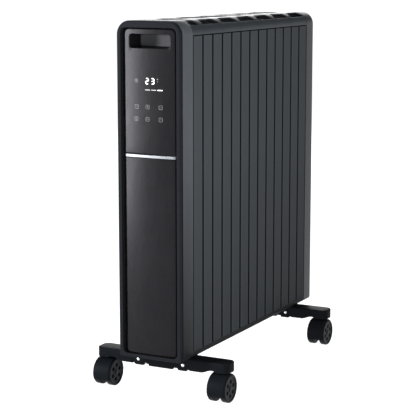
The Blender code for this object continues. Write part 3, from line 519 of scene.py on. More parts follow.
def walk(corners, steps):
    """Points evenly spaced along a line through corners, one per step, without the last."""
    corners = np.asarray(corners, dtype=float)
    gap = np.linalg.norm(np.diff(corners, axis=0), axis=1)
    place = np.concatenate([[0.0], np.cumsum(gap)])
    at = np.linspace(0.0, place[-1], steps, endpoint=False)
    return np.stack([np.interp(at, place, corners[:, 0]), np.interp(at, place, corners[:, 1])], axis=1)


def eased(outline, spacing):
    """A closed outline with its corners rounded: each point becomes the mean of its
    neighbours within VENT_CORNER millimetres either way."""
    reach = max(int(round(VENT_CORNER / spacing)), 1)
    return sum(np.roll(outline, shift, axis=0) for shift in range(-reach, reach + 1)) / (2 * reach + 1)


def cell_edge(low_run, high_run, ys, side_steps):
    """The four sides of a cell of the cover, walked anticlockwise in run and y."""
    runs = np.linspace(low_run, high_run, side_steps + 1)
    sides = [(runs[:-1], ys[0]), (high_run, ys[:-1]), (runs[:0:-1], ys[-1]), (low_run, ys[:0:-1])]
    return np.concatenate([np.stack(np.broadcast_arrays(run, y), axis=1) for run, y in sides])


def vented_cell(low_run, high_run, ys, side_steps, hole_sides):
    """A cell of the cover between two runs, with points at each of ys, and with an opening.

    Rings of points go from the cell's edge to the opening's rim in the outer face, round
    the rim on a quarter circle of VENT_EDGE, down the wall, and back out to the cell's edge
    in the inner face. A ring at share w is edge * (1 - w) + rim * w.
    """
    edge = cell_edge(low_run, high_run, ys, side_steps)
    counts = (side_steps, len(ys) - 1, side_steps, len(ys) - 1)
    hole = np.concatenate([walk(side, count) for side, count in zip(hole_sides, counts)])
    hole = eased(hole, EASE_SPACING)
    rim = drawn(hole, -VENT_EDGE)
    rings = [(edge * (1.0 - w) + rim * w, 0.0) for w in (0.0, 0.35, 0.7, 0.9, 1.0)]
    for turn in np.radians((25.0, 50.0, 75.0, 90.0)):
        outset = VENT_EDGE * (1.0 - math.sin(turn))
        rings.append((drawn(hole, -outset), VENT_EDGE * (1.0 - math.cos(turn))))
    rings += [(edge * (1.0 - w) + hole * w, COVER_WALL) for w in (1.0, 0.5, 0.0)]
    grid = np.stack([on_arch(ring[:, 0], ring[:, 1], depth) for ring, depth in rings])
    return skin(grid, False, True)


def plain_cell(runs, ys):
    """Outer and inner faces of a part of the cover without an opening."""
    run, y = np.meshgrid(runs, ys, indexing="ij")
    return [skin(on_arch(run, y, depth), False, False) for depth in (0.0, COVER_WALL)]


def cover_border(run, y):
    """The cover's edge face between its outer and inner faces along a line of points."""
    return skin(np.stack([on_arch(run, y, 0.0), on_arch(run, y, COVER_WALL)]), False, False)


def moved(part, offset, side=1.0):
    """A part whose x is multiplied by side, then moved by offset."""
    points, faces = part
    return points * (side, 1.0, 1.0) + offset, faces


def grille_bar(runs, ys, deep):
    """A square bar of the fine grille behind the openings, through points at runs and ys.

    Its four corners stand GRILLE_HALF to each side across the bar and in depth.
    """
    ahead = np.stack([np.gradient(runs), np.gradient(ys)], axis=1)
    ahead /= np.linalg.norm(ahead, axis=1, keepdims=True)
    corners = []
    for side, lift in ((-1.0, -1.0), (1.0, -1.0), (1.0, 1.0), (-1.0, 1.0)):
        across = ahead * side * GRILLE_HALF
        corners.append(on_arch(runs - across[:, 1], ys + across[:, 0], deep + lift * GRILLE_HALF))
    return skin(np.stack(corners, axis=1), False, True, True, True)


knot_y = np.array([COVER_FRONT_Y] + [VENT_FIRST_Y + VENT_STEP * k for k in range(1, 13)] + [COVER_BACK_Y])
outer_run, inner_run = run_at(SHOULDER_VENT_OUTER_X), run_at(SHOULDER_VENT_INNER_X)
all_y = np.concatenate([np.linspace(a, b, CELL_STEPS, endpoint=False)
                        for a, b in zip(knot_y[:-1], knot_y[1:])] + [[COVER_BACK_Y]])

right_side, middle_part = [], []
for number in range(7):
    middle = VENT_FIRST_Y + 2 * VENT_STEP * number
    first, last = max(2 * number - 1, 0), min(2 * number + 1, 13)
    low_y = knot_y[first]
    start = max(middle - VENT_HALF, low_y + VENT_MARGIN)
    slant_start = max(middle - VENT_HALF + VENT_SLANT, low_y + VENT_MARGIN)
    end, slant_end = middle + VENT_HALF, middle + VENT_HALF - VENT_SLANT
    slot = [[(inner_run, slant_start), (outer_run, start)], [(outer_run, start), (outer_run, end)],
            [(outer_run, end), (inner_run, slant_end)], [(inner_run, slant_end), (inner_run, slant_start)]]
    ys = all_y[first * CELL_STEPS:last * CELL_STEPS + 1]
    right_side.append(vented_cell(BAND_RUN, arch_half, ys, BAND_STEPS, slot))
for number in range(6):
    middle = VENT_FIRST_Y + VENT_STEP * (2 * number + 1)
    across, flat = MIDDLE_VENT_HALF, MIDDLE_VENT_FLAT
    six_sided = [[(-across, middle - flat), (0.0, middle - VENT_HALF), (across, middle - flat)],
                 [(across, middle - flat), (across, middle + flat)],
                 [(across, middle + flat), (0.0, middle + VENT_HALF), (-across, middle + flat)],
                 [(-across, middle + flat), (-across, middle - flat)]]
    ys = all_y[2 * number * CELL_STEPS:(2 * number + 2) * CELL_STEPS + 1]
    middle_part.append(vented_cell(-BAND_RUN, BAND_RUN, ys, 2 * BAND_STEPS, six_sided))
side_run = np.linspace(BAND_RUN, arch_half, BAND_STEPS + 1)
middle_run = np.linspace(-BAND_RUN, BAND_RUN, 2 * BAND_STEPS + 1)
middle_part += plain_cell(middle_run, all_y[12 * CELL_STEPS:])
right_side.append(cover_border(np.full(len(all_y), arch_half), all_y))
for y in (COVER_FRONT_Y, COVER_BACK_Y):
    right_side.append(cover_border(side_run, y))
    middle_part.append(cover_border(middle_run, y))
left_side = [moved(part, (0.0, 0.0, 0.0), -1.0) for part in right_side]
add_piece("vented_cover", right_side + left_side + middle_part, shell_plastic, "root",
          ["top_cover"], crease=50.0)

grille_run = np.linspace(-GRILLE_REACH, GRILLE_REACH, 41)
grille_parts = []
for bar_y in np.arange(COVER_FRONT_Y + 3.0, GRILLE_BACK_Y, GRILLE_STEP):
    grille_parts.append(grille_bar(grille_run, bar_y + np.zeros_like(grille_run), GRILLE_DEPTH))
for bar_run in np.arange(-13, 14) * GRILLE_STEP:
    bar_y = np.linspace(COVER_FRONT_Y + 1.0, GRILLE_BACK_Y, 3)
    grille_parts.append(grille_bar(np.full(3, bar_run), bar_y, GRILLE_DEPTH + GRILLE_HALF))
add_piece("vent_grille", grille_parts, black_and_groove_shade, "root", [])

# ---------------------------------------------------------------- rear cover
# A moulded dish that closes the far end. Its rounded edge runs into a shallow sunk face with
# a block of blind louvres at the top, and four screws hold it to the last fin.

BODY_HALF_WIDTH = 61.5
BODY_LOW_Z = 72.5
BODY_HIGH_Z = 660.0
BODY_SHOULDER = 24.0
BODY_HEEL = 5.0
REAR_FRONT_Y = 246.4
REAR_FACE_Y = 281.8
REAR_WALL = 2.5
REAR_EDGE = 6.0
REAR_BORDER = 15.0
REAR_SINK = 1.4
LOUVRE_HALF = 34.0
LOUVRE_STEP = 9.0
LOUVRE_HIGH_Z = 600.0
LOUVRE_COUNT = 14
SCREW_PLACES = ((-38.0, 112.0), (38.0, 112.0), (-38.0, 622.0), (38.0, 622.0))


def rounded(half, low, high, top_radius, heel_radius, steps=10, across=1, up=1):
    """A closed outline in x and z: an upright rectangle with quarter circles at its corners.

    It starts at the bottom right and goes anticlockwise. Straight runs across and up are
    parted into that many pieces.
    """
    radii = (heel_radius, top_radius, top_radius, heel_radius)
    corners = ((half, low), (half, high), (-half, high), (-half, low))
    signs = ((-1, 1), (-1, -1), (1, -1), (1, 1))
    parts = []
    for number, (corner, sign, radius) in enumerate(zip(corners, signs, radii)):
        centre = (corner[0] + sign[0] * radius, corner[1] + sign[1] * radius)
        parts.append(arc(centre, radius, 90.0 * number - 90.0, 90.0 * number, steps))
    outline = []
    for number, part in enumerate(parts):
        following = parts[(number + 1) % 4][0]
        pieces = up if number % 2 == 0 else across
        share = np.linspace(0.0, 1.0, pieces + 1)[1:-1, None]
        outline += [part, part[-1] * (1.0 - share) + following * share]
    return np.concatenate(outline)


def standing(outline, y):
    """An outline in x and z, standing at y."""
    return np.stack([outline[:, 0], np.full(len(outline), y), outline[:, 1]], axis=1)


def body_ring(inset, y):
    """The body's outline drawn in by inset, standing at y. Its corners keep at least 1 mm."""
    ring = rounded(BODY_HALF_WIDTH - inset, BODY_LOW_Z + inset, BODY_HIGH_Z - inset,
                   max(BODY_SHOULDER - inset, 1.0), max(BODY_HEEL - inset, 1.0), 12)
    return standing(ring, y)


def round_rim(ring, edge, face_y, inwards, steps, start=0.0, end=90.0):
    """Rings round an edge of radius edge that meets the face at face_y.

    At t from start to end degrees, ring(inset, y) has inset edge * (1 - cos t) and y at
    edge * (1 - sin t) from the face. inwards is 1 where the piece lies towards +y of it.
    """
    return [ring(edge * (1.0 - math.cos(t)), face_y + inwards * edge * (1.0 - math.sin(t)))
            for t in np.radians(np.linspace(start, end, steps + 1))]


def screw(x, z, face_y):
    """A pan-headed screw: a turned dome with a round recess, standing out along +y."""
    profile = [(0.01, -1.0), (3.6, -1.0), (3.6, 0.4), (3.2, 1.0), (2.2, 1.35), (1.4, 1.4), (1.1, 0.5),
               (0.01, 0.4)]
    return turned(profile, (x, face_y, z), "y", 20, False, True, True)


rear_rings = round_rim(body_ring, REAR_EDGE, REAR_FACE_Y, -1.0, 8)
for inset, fall in ((REAR_BORDER - 1.0, 0.0), (REAR_BORDER - 0.3, 0.15), (REAR_BORDER, 0.5),
                    (REAR_BORDER + 0.3, REAR_SINK - 0.2), (REAR_BORDER + 0.9, REAR_SINK)):
    rear_rings.append(body_ring(inset, REAR_FACE_Y - fall))
inside_y = REAR_FACE_Y - REAR_WALL - REAR_SINK
inner_rings = [body_ring(REAR_WALL + 3.0, inside_y), body_ring(REAR_WALL, inside_y - 3.0),
               body_ring(REAR_WALL, REAR_FRONT_Y), body_ring(0.6, REAR_FRONT_Y),
               body_ring(0.0, REAR_FRONT_Y + 0.6)]
rear_parts = [skin(np.stack(inner_rings + rear_rings), False, True, True, True)]
louvre = arc((0.0, 0.0), 2.2, -90.0, 90.0, 8) * (0.5, 1.0)
for number in range(LOUVRE_COUNT):
    height = LOUVRE_HIGH_Z - number * LOUVRE_STEP
    bar = louvre + (REAR_FACE_Y - REAR_SINK - 0.1, height)
    rear_parts.append(prism(bar, "x", -LOUVRE_HALF, LOUVRE_HALF, 0.4, 2))
add_piece("rear_dish", rear_parts, shell_plastic, "root", ["rear_cover"])

zinc, zinc_shader = start_material("bright_zinc")
brushed = noise(zinc, 1.2, 4.0, (1.0, 8.0, 8.0))
tinted(zinc, zinc_shader, noise(zinc, 5.0), (0.50, 0.51, 0.52), (0.66, 0.67, 0.68))
glossed(zinc, zinc_shader, brushed, 0.22, 0.40)
zinc_shader.inputs["Metallic"].default_value = 1.0
bumped(zinc, zinc_shader, brushed, 0.01)
add_piece("rear_screws", [screw(x, z, REAR_FACE_Y - REAR_SINK) for x, z in SCREW_PLACES], zinc, "root",
          [])

# ---------------------------------------------------------------- back plate and inner parts
# The plate between the controls and the first fin, and what is fixed to it: the display and
# power boards, the tip-over switch, the thermal cutout and the heating element in the oil.

board_green, board_shader = start_material("circuit_board")
tracks = spread(board_green, noise(board_green, 3.0, 1.0, (1.0, 1.0, 0.25)), 0.0, 1.0, 0.48, 0.52)
board_green.node_tree.links.new(between(board_green, tracks, (0.010, 0.060, 0.026), (0.025, 0.110, 0.050)),
                                board_shader.inputs["Base Color"])
glossed(board_green, board_shader, noise(board_green, 8.0), 0.30, 0.42)
bumped(board_green, board_shader, tracks, 0.03)


def finish_node(name, material):
    """Gives a CAD node that stays in view its material."""
    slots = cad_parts[name].data.materials
    slots.clear()
    slots.append(material)


for name, material in (("back_plate", black_and_groove_shade), ("tip_over_switch", black_and_groove_shade),
                       ("thermal_cutout", black_and_groove_shade), ("display_board", board_green),
                       ("power_board", board_green), ("heating_element", zinc)):
    finish_node(name, material)

# ---------------------------------------------------------------- control housing
# A moulded tube behind the bezel that holds the controls and hides the first fin's front. It
# is screwed to the back plate from behind. Its mouth is necked in, which leaves a dark groove
# behind the bezel.

HOUSING_FRONT_Y = -275.5
HOUSING_BACK_Y = -235.2
HOUSING_WALL = 2.5
HOUSING_EDGE = 0.8
HOUSING_NECK = 1.6
HOUSING_SHOULDER_Y = -271.8

# Painted shade: the housing's colour darkens towards the floor from 420 mm down.
housing_plastic = moulded("housing_satin", (0.0480, 0.0520, 0.0570), (0.055, 0.059, 0.064), 0.36, 0.7,
                          0.010, 0.02, COOL, (0.0030, 0.0034, 0.0040))

housing_rings = [body_ring(HOUSING_WALL, HOUSING_BACK_Y), body_ring(HOUSING_WALL, HOUSING_FRONT_Y),
                 body_ring(HOUSING_NECK, HOUSING_FRONT_Y), body_ring(HOUSING_NECK, HOUSING_SHOULDER_Y)]
housing_rings += round_rim(body_ring, HOUSING_EDGE, HOUSING_SHOULDER_Y, 1.0, 4, 90.0, 0.0)
housing_rings += round_rim(body_ring, HOUSING_EDGE, HOUSING_BACK_Y, -1.0, 4)
housing = add_piece("housing_tube", [skin(np.stack(housing_rings), True, True)], housing_plastic, "root",
                    ["control_housing"])
# Painted shade: the necked mouth, down in the groove behind the bezel, is painted black.
repaint(housing, black_and_groove_shade, lambda centre: centre[:, 1] < HOUSING_SHOULDER_Y + 0.05)

# ---------------------------------------------------------------- hand slot lining
# A deep moulded pocket behind the slot in the touch panel, where fingers go to roll the
# heater about. Its flange is clamped between the panel and the housing.

SLOT_HALF = 39.1
SLOT_LOW_Z = 614.0
SLOT_HIGH_Z = 636.8
SLOT_RADIUS = 5.0
POCKET_FRONT_Y = -272.0
POCKET_BACK_Y = -237.0
POCKET_WALL = 1.5

pocket_plastic = moulded("pocket_black", (0.0035, 0.0035, 0.0040), (0.005, 0.005, 0.006), 0.50, 1.6, 0.05,
                         0.10)


def slot_outline(outset, *counts):
    """The hand slot's outline let out by outset, with counts of points per corner and side."""
    return rounded(SLOT_HALF + outset, SLOT_LOW_Z - outset, SLOT_HIGH_Z + outset, SLOT_RADIUS + outset,
                   SLOT_RADIUS + outset, *counts)


def slot_ring(outset, y):
    """The hand slot's outline let out by outset, standing at y."""
    return standing(slot_outline(outset, 8), y)


pocket_end = POCKET_BACK_Y - POCKET_WALL
pocket_rings = [slot_ring(outset, y) for outset, y in (
    (-4.0, pocket_end), (-1.2, pocket_end - 0.8), (0.0, pocket_end - 4.0), (0.0, POCKET_FRONT_Y),
    (POCKET_WALL, POCKET_FRONT_Y), (POCKET_WALL, POCKET_BACK_Y))]
# Painted light: the pocket's floor is a pale grey, far paler than its black walls, where light through the
# slot falls on it.
pocket_floor_lit_paint = moulded("pocket_floor_painted_light", (0.075, 0.076, 0.084), (0.075, 0.076, 0.084), 0.60, 1.2, 0.02,
                       0.05)
hand_pocket = add_piece("hand_pocket", [skin(np.stack(pocket_rings), False, True, True, True)],
                        pocket_plastic, "root", ["grip_pocket"])
repaint(hand_pocket, pocket_floor_lit_paint, lambda centre: centre[:, 1] > pocket_end - 2.0)

# ---------------------------------------------------------------- lower panel
# A high-gloss moulding, crowned across its width, that covers the controls below the strip.
# Its side edges fall away into the groove along the bezel, and hooks hold it from behind.

PANEL_HALF = 50.6
PANEL_FACE_Y = -277.8
PANEL_CROWN = 2.5
PANEL_FALL = 5.0
PANEL_FALL_WIDTH = 2.6
PANEL_BACK_Y = -272.3
PANEL_WALL = 2.2
LOWER_LOW_Z = 80.2
LOWER_HIGH_Z = 426.3
LOWER_CORNER = 8.0
LOWER_ROUNDING = 1.2

gloss, gloss_shader = start_material("gloss_black")
haze = noise(gloss, 60.0, 5.0)
tinted(gloss, gloss_shader, haze, (0.0040, 0.0037, 0.0046), (0.0052, 0.0048, 0.0058))
smears = noise(gloss, 14.0, 6.0, (1.0, 1.0, 0.35))
glossed(gloss, gloss_shader, smears, 0.25, 0.30)
gloss_shader.inputs["Specular IOR Level"].default_value = 0.085
gloss_shader.inputs["Specular Tint"].default_value = (0.94, 0.92, 1.0, 1.0)
bumped(gloss, gloss_shader, noise(gloss, 25.0, 2.0), 0.006)


def crown_y(x):
    """The panels' face: it falls back by PANEL_CROWN times the square of x over PANEL_HALF."""
    return PANEL_FACE_Y + PANEL_CROWN * (x / PANEL_HALF) ** 2


def turned_back(distance, width, depth):
    """How far a face has turned back, distance millimetres in from its edge.

    It is a quarter ellipse, depth deep and width wide.
    """
    share = np.clip(1.0 - distance / width, 0.0, 1.0)
    return depth * (1.0 - np.sqrt(1.0 - share ** 2))


def edge_steps(low, high, width, inner):
    """Numbers from low to high, close together within width of each end."""
    ease = width * (1.0 - np.cos(np.linspace(0.0, np.pi / 2.0, 9)))
    middle = np.linspace(low + width, high - width, inner)[1:-1]
    return np.concatenate([low + ease, middle, high - ease[::-1]])


x, share = np.meshgrid(edge_steps(-PANEL_HALF, PANEL_HALF, LOWER_CORNER, 24),
                       edge_steps(0.0, 1.0, 0.004, 12), indexing="ij")
past_corner = np.clip(np.abs(x) - (PANEL_HALF - LOWER_CORNER), 0.0, LOWER_CORNER)
low_edge = LOWER_LOW_Z + LOWER_CORNER - np.sqrt(LOWER_CORNER ** 2 - past_corner ** 2)
z = low_edge + (LOWER_HIGH_Z - low_edge) * share
face = crown_y(x) + turned_back(PANEL_HALF - np.abs(x), PANEL_FALL_WIDTH, PANEL_FALL)
face += turned_back(np.minimum(z - low_edge, LOWER_HIGH_Z - z), LOWER_ROUNDING, LOWER_ROUNDING)
back = np.maximum(face + PANEL_WALL, PANEL_BACK_Y)
panel_front = np.stack([x, face, z], axis=2)
panel_back = np.stack([x, back, z], axis=2)


def closed_sheet(front, back):
    """Front and back grids of the same shape, joined along their four borders."""
    parts = [skin(front, False, False), skin(back, False, False)]
    for line in (np.s_[0, :], np.s_[-1, :], np.s_[:, 0], np.s_[:, -1]):
        parts.append(skin(np.stack([front[line], back[line]]), False, False))
    return parts


add_piece("lower_panel_face", closed_sheet(panel_front, panel_back), gloss, "root",
          ["lower_panel"])

# ---------------------------------------------------------------- bright strip
# A narrow metallised strip across the panel between the touch area and the lower panel,
# crowned with them and held by the two panels' edges.

STRIP_LOW_Z = 426.9
STRIP_HIGH_Z = 431.9
STRIP_HALF = 50.8
STRIP_PROUD = 0.4
STRIP_ROUNDING = 0.7
STRIP_BACK_Y = -272.8

bright, bright_shader = start_material("bright_strip")
drawn_lines = noise(bright, 0.8, 3.0, (0.05, 1.0, 1.0))
tinted(bright, bright_shader, drawn_lines, (0.15, 0.16, 0.18), (0.19, 0.20, 0.22))
glossed(bright, bright_shader, drawn_lines, 0.30, 0.42)
bright_shader.inputs["Metallic"].default_value = 0.55
bumped(bright, bright_shader, drawn_lines, 0.005)

strip_x, strip_z = np.meshgrid(edge_steps(-STRIP_HALF, STRIP_HALF, 2.0, 24),
                               edge_steps(STRIP_LOW_Z, STRIP_HIGH_Z, STRIP_ROUNDING, 4), indexing="ij")
strip_face = crown_y(strip_x) - STRIP_PROUD
strip_face += turned_back(STRIP_HALF - np.abs(strip_x), PANEL_FALL_WIDTH, PANEL_FALL)
strip_edge = np.minimum(strip_z - STRIP_LOW_Z, STRIP_HIGH_Z - strip_z)
strip_face += turned_back(strip_edge, STRIP_ROUNDING, STRIP_ROUNDING)
strip_back = np.maximum(strip_face + 2.0, STRIP_BACK_Y)
add_piece("strip_bar", closed_sheet(np.stack([strip_x, strip_face, strip_z], axis=2),
                                    np.stack([strip_x, strip_back, strip_z], axis=2)),
          bright, "root", ["accent_strip"])

# ---------------------------------------------------------------- touch panel
# The gloss panel above the strip, pierced by the hand slot. Fingers work it through the
# plastic, and the display shines through from the board behind.

TOUCH_LOW_Z = 432.5
TOUCH_HIGH_Z = 647.2
TOUCH_RADIUS = 8.0
SLOT_EDGE = 1.5


def panel_ring(share, fall_inset, outset):
    """A ring between the touch panel's outline, at share 0, and the hand slot's, at share 1.

    Each point is outer * (1 - share) + slot * share, the outer outline drawn in by
    fall_inset and the slot's let out by outset.
    """
    outer = rounded(PANEL_HALF - fall_inset, TOUCH_LOW_Z + fall_inset, TOUCH_HIGH_Z - fall_inset,
                    TOUCH_RADIUS, 1.0 + fall_inset * 0.2, 8, 20, 20)
    return outer * (1.0 - share) + slot_outline(outset, 8, 20, 20) * share


def on_crown(ring, behind):
    """A ring in x and z laid on the crowned face, or behind it by that much."""
    return np.stack([ring[:, 0], crown_y(ring[:, 0]) + behind, ring[:, 1]], axis=1)


touch_rings = []
for t in np.linspace(0.0, np.pi / 2.0, 9):
    ring = panel_ring(0.0, PANEL_FALL_WIDTH * (1.0 - math.cos(t)), 0.0)
    near_strip = np.clip((ring[:, 1] - TOUCH_LOW_Z) / 5.0, 0.25, 1.0)
    touch_rings.append(on_crown(ring, PANEL_FALL * near_strip * (1.0 - math.sin(t))))
for share in (0.1, 0.25, 0.4, 0.55, 0.7, 0.85, 0.95, 1.0):
    touch_rings.append(on_crown(panel_ring(share, PANEL_FALL_WIDTH, SLOT_EDGE), 0.0))
for t in np.linspace(0.0, np.pi / 2.0, 6)[1:]:
    ring = panel_ring(1.0, 0.0, SLOT_EDGE * (1.0 - math.sin(t)))
    touch_rings.append(on_crown(ring, SLOT_EDGE * (1.0 - math.cos(t))))
touch_back = standing(panel_ring(0.0, 0.3, 0.0), 0.0)
touch_back[:, 1] = touch_rings[0][:, 1] + 1.2
touch_rings += [standing(panel_ring(1.0, 0.0, 0.0), PANEL_BACK_Y), touch_back]
touch_grid = np.stack(touch_rings)
add_piece("touch_panel_face", [skin(touch_grid, True, True)], gloss, "root",
          ["control_panel"])

# ---------------------------------------------------------------- display and touch marks
# Lit digits, level bars and a small state mark shine through the gloss panel, and six marks
# in pale ink show where to touch. All lie as thin films on the panel's face.

FILM = 0.12
DIGIT_HEIGHT = 11.0
DIGIT_WIDTH = 7.0
DIGIT_STROKE = 1.6
DIGIT_GAP = 0.25
DIGIT_LOW_Z = 552.8
DIGIT_PLACES = ((-4.2, "abged"), (6.6, "abgcd"))
BAR_Z = 543.4
BAR_HALF = 0.75
BAR_LENGTH = 9.6
KEY_PLACES = ((-25.0, 514.3), (-3.6, 514.3), (21.8, 514.3), (-26.0, 493.5), (-3.7, 493.5),
              (21.7, 493.5))
LINE = 0.5


def lit_film(name, first, second, strength, base):
    """A film that glows unevenly between two colours, over a grey base."""
    material, shader = start_material(name)
    tinted(material, shader, noise(material, 2.0), first, second, "Emission Color")
    shader.inputs["Emission Strength"].default_value = strength
    shader.inputs["Base Color"].default_value = (base, base, base, 1.0)
    shader.inputs["Roughness"].default_value = 0.3
    return material


glow = lit_film("display_glow", (0.8872, 0.9404, 0.9968), (0.90, 0.95, 1.0), 1.25, 0.5)
dim_glow = lit_film("display_dim_glow", (0.75, 0.78, 0.85), (0.88, 0.90, 0.95), 0.15, 0.2)

ink, ink_shader = start_material("pale_ink")
tinted(ink, ink_shader, noise(ink, 1.5), (0.085, 0.085, 0.092), (0.13, 0.13, 0.14))
ink_shader.inputs["Roughness"].default_value = 0.45


def film(outline):
    """A thin closed film with that outline in x and z, lying on the panels' crowned face."""
    outline = np.asarray(outline, dtype=float)
    depth = crown_y(outline[:, 0])
    grid = np.stack([np.stack([outline[:, 0], depth - offset, outline[:, 1]], axis=1)
                     for offset in (-FILM, FILM)])
    return skin(grid, False, True, True, True)


def stroke(points, width, closed=False):
    """A line of even width through points, as films between its left and right sides.

    Each side is the points moved across the line's direction by half the width.
    """
    points = np.asarray(points, dtype=float)
    if closed:
        ahead = np.roll(points, -1, axis=0) - np.roll(points, 1, axis=0)
    else:
        ahead = np.gradient(points, axis=0)
    ahead /= np.linalg.norm(ahead, axis=1, keepdims=True)
    across = np.stack([-ahead[:, 1], ahead[:, 0]], axis=1) * width / 2.0
    sides = []
    for line, offset in ((points + across, FILM), (points - across, FILM), (points - across, -FILM),
                         (points + across, -FILM)):
        sides.append(np.stack([line[:, 0], crown_y(line[:, 0]) - offset, line[:, 1]], axis=1))
    grid = np.stack(sides, axis=1)
    return skin(grid, closed, True, not closed, not closed)


def segment(start, end, width):
    """One lit segment: a bar from start to end whose ends come to a point."""
    along = (end - start) / np.linalg.norm(end - start)
    across = np.array([-along[1], along[0]]) * width / 2.0
    inset = along * width / 2.0
    return film([start, start + inset - across, end - inset - across, end, end - inset + across,
                 start + inset + across])


def digit(middle_x, lit):
    """A seven-segment digit. Segments a to g are named clockwise from the top, g across."""
    left, right = middle_x - DIGIT_WIDTH / 2.0 + 0.9, middle_x + DIGIT_WIDTH / 2.0 - 0.9
    low, high = DIGIT_LOW_Z + 0.9, DIGIT_LOW_Z + DIGIT_HEIGHT - 0.9
    middle = (low + high) / 2.0
    ends = {"a": ((left, high), (right, high)), "b": ((right, high), (right, middle)),
            "c": ((right, middle), (right, low)), "d": ((left, low), (right, low)),
            "e": ((left, middle), (left, low)), "f": ((left, high), (left, middle)),
            "g": ((left, middle), (right, middle))}
    parts = []
    for name in lit:
        start, end = np.asarray(ends[name][0]), np.asarray(ends[name][1])
        gap = (end - start) / np.linalg.norm(end - start) * DIGIT_GAP
        parts.append(segment(start + gap, end - gap, DIGIT_STROKE))
    return parts


lit_parts = []
for middle_x, lit in DIGIT_PLACES:
    lit_parts += digit(middle_x, lit)
add_piece("display_digits", lit_parts, glow, "root", [])

dim_parts = [stroke(arc((16.0, 562.0), 0.8, 0.0, 360.0, 12)[:-1], LINE, True),
             film([(15.7, 557.2), (16.5, 557.2), (16.5, 558.4), (15.7, 558.4)])]
for number, glow_material in enumerate((dim_glow, dim_glow, glow)):
    start_x = -8.2 + number * 12.0
    bar = film([(start_x, BAR_Z - BAR_HALF), (start_x + BAR_LENGTH, BAR_Z - BAR_HALF),
                (start_x + BAR_LENGTH, BAR_Z + BAR_HALF), (start_x, BAR_Z + BAR_HALF)])
    if glow_material is dim_glow:
        dim_parts.append(bar)
    else:
        add_piece("display_bar", [bar], glow, "root", [])
add_piece("display_dim_marks", dim_parts, dim_glow, "root", [])

# In order of KEY_PLACES: power, plus, minus, turn back, down and timer.
key_marks = ([[(0.0, 0.0), (0.0, 2.2)]],
             [[(-1.6, 0.0), (1.6, 0.0)], [(0.0, -1.6), (0.0, 1.6)]],
             [[(-1.6, 0.0), (1.6, 0.0)]],
             [arc((0.0, 0.0), 1.5, 40.0, 320.0, 28)],
             [[(-1.5, 1.3), (0.0, -1.5), (1.5, 1.3)]],
             [[(0.0, 1.9), (0.0, 0.0), (1.5, 0.0)]])
ink_parts = [stroke(arc((-25.4, 558.5), 2.6, 0.0, 360.0, 28)[:-1], LINE, True),
             stroke([(-25.4, 558.5), (-25.4, 560.6)], LINE), stroke([(-25.4, 558.5), (-23.9, 558.5)], LINE)]
for place, marks in zip(KEY_PLACES, key_marks):
    ink_parts.append(stroke(rounded(3.3, -3.3, 3.3, 1.2, 1.2, 4) + place, 0.45, True))
    ink_parts += [stroke(np.asarray(mark) + place, LINE) for mark in marks]
add_piece("touch_marks", ink_parts, ink, "root", [])

# ---------------------------------------------------------------- bezel
# A moulded frame round the panels, with soft edges inside and out, screwed to the housing
# from within. A fine groove parts it from the housing behind.

BEZEL_FRONT_Y = -281.8
BEZEL_BACK_Y = -275.8
OPENING_HALF = 53.9
OPENING_LOW_Z = 79.0
OPENING_HIGH_Z = 648.0
OPENING_TOP_RADIUS = 9.5
OPENING_HEEL_RADIUS = 9.0
BEZEL_OUTER_EDGE = 2.2
BEZEL_INNER_EDGE = 0.9
BEZEL_REAR_EDGE = 0.6

bezel_plastic = moulded("bezel_satin", (0.0085, 0.0092, 0.0112), (0.016, 0.017, 0.020), 0.38, 0.6, 0.008,
                        0.010, COOL)


def opening_ring(outset, y):
    """The bezel's opening let out by outset, standing at y."""
    ring = rounded(OPENING_HALF + outset, OPENING_LOW_Z - outset, OPENING_HIGH_Z + outset,
                   OPENING_TOP_RADIUS + outset, OPENING_HEEL_RADIUS + outset, 12)
    return standing(ring, y)


bezel_rings = [opening_ring(0.0, BEZEL_BACK_Y), body_ring(BEZEL_REAR_EDGE, BEZEL_BACK_Y),
               body_ring(0.0, BEZEL_BACK_Y - BEZEL_REAR_EDGE)]
bezel_rings += round_rim(body_ring, BEZEL_OUTER_EDGE, BEZEL_FRONT_Y, 1.0, 6)
bezel_rings += [body_ring(BEZEL_OUTER_EDGE + 0.8, BEZEL_FRONT_Y),
                opening_ring(BEZEL_INNER_EDGE + 0.8, BEZEL_FRONT_Y)]
bezel_rings += round_rim(opening_ring, BEZEL_INNER_EDGE, BEZEL_FRONT_Y, 1.0, 6, 90.0, 0.0)
bezel = add_piece("bezel_frame", [skin(np.stack(bezel_rings), True, True)], bezel_plastic, "root",
                  ["front_bezel"])
# Painted shade: the opening's inner wall, down in the groove round the panels, is painted black.
repaint(bezel, black_and_groove_shade, lambda centre: (centre[:, 1] > BEZEL_FRONT_Y + 0.3)
        & (np.abs(centre[:, 0]) < OPENING_HALF + 1.0) & (centre[:, 2] > OPENING_LOW_Z - 1.0)
        & (centre[:, 2] < OPENING_HIGH_Z + 1.0))

# ---------------------------------------------------------------- cord gland
# A ribbed strain relief pressed into the left side of the housing, low down, where the
# supply cord leaves.

GLAND_Y = -255.35
GLAND_Z = 134.5
gland_profile = [(0.01, 56.0), (6.0, 56.0), (6.0, 61.0), (9.0, 61.2), (9.0, 63.0), (7.4, 63.6)]
for station in np.arange(64.4, 71.0, 2.2):
    gland_profile += [(7.0, station), (5.8, station + 0.5), (5.8, station + 1.1), (6.7, station + 1.6)]
gland_profile += [(6.4, 72.0), (5.6, 72.5), (3.6, 72.5), (3.4, 66.0), (0.01, 66.0)]
add_piece("gland_ribbed", [turned([(radius, -station) for radius, station in gland_profile],
                                  (0.0, GLAND_Y, GLAND_Z), "x", 32, False, True, True)],
          black_and_groove_shade, "root", ["cord_gland"])

# ---------------------------------------------------------------- foot brackets
# Black moulded bars bolted across under the rails, one near each end. Each is forked at both
# ends, so that a folding arm sits between its ears on a rivet.

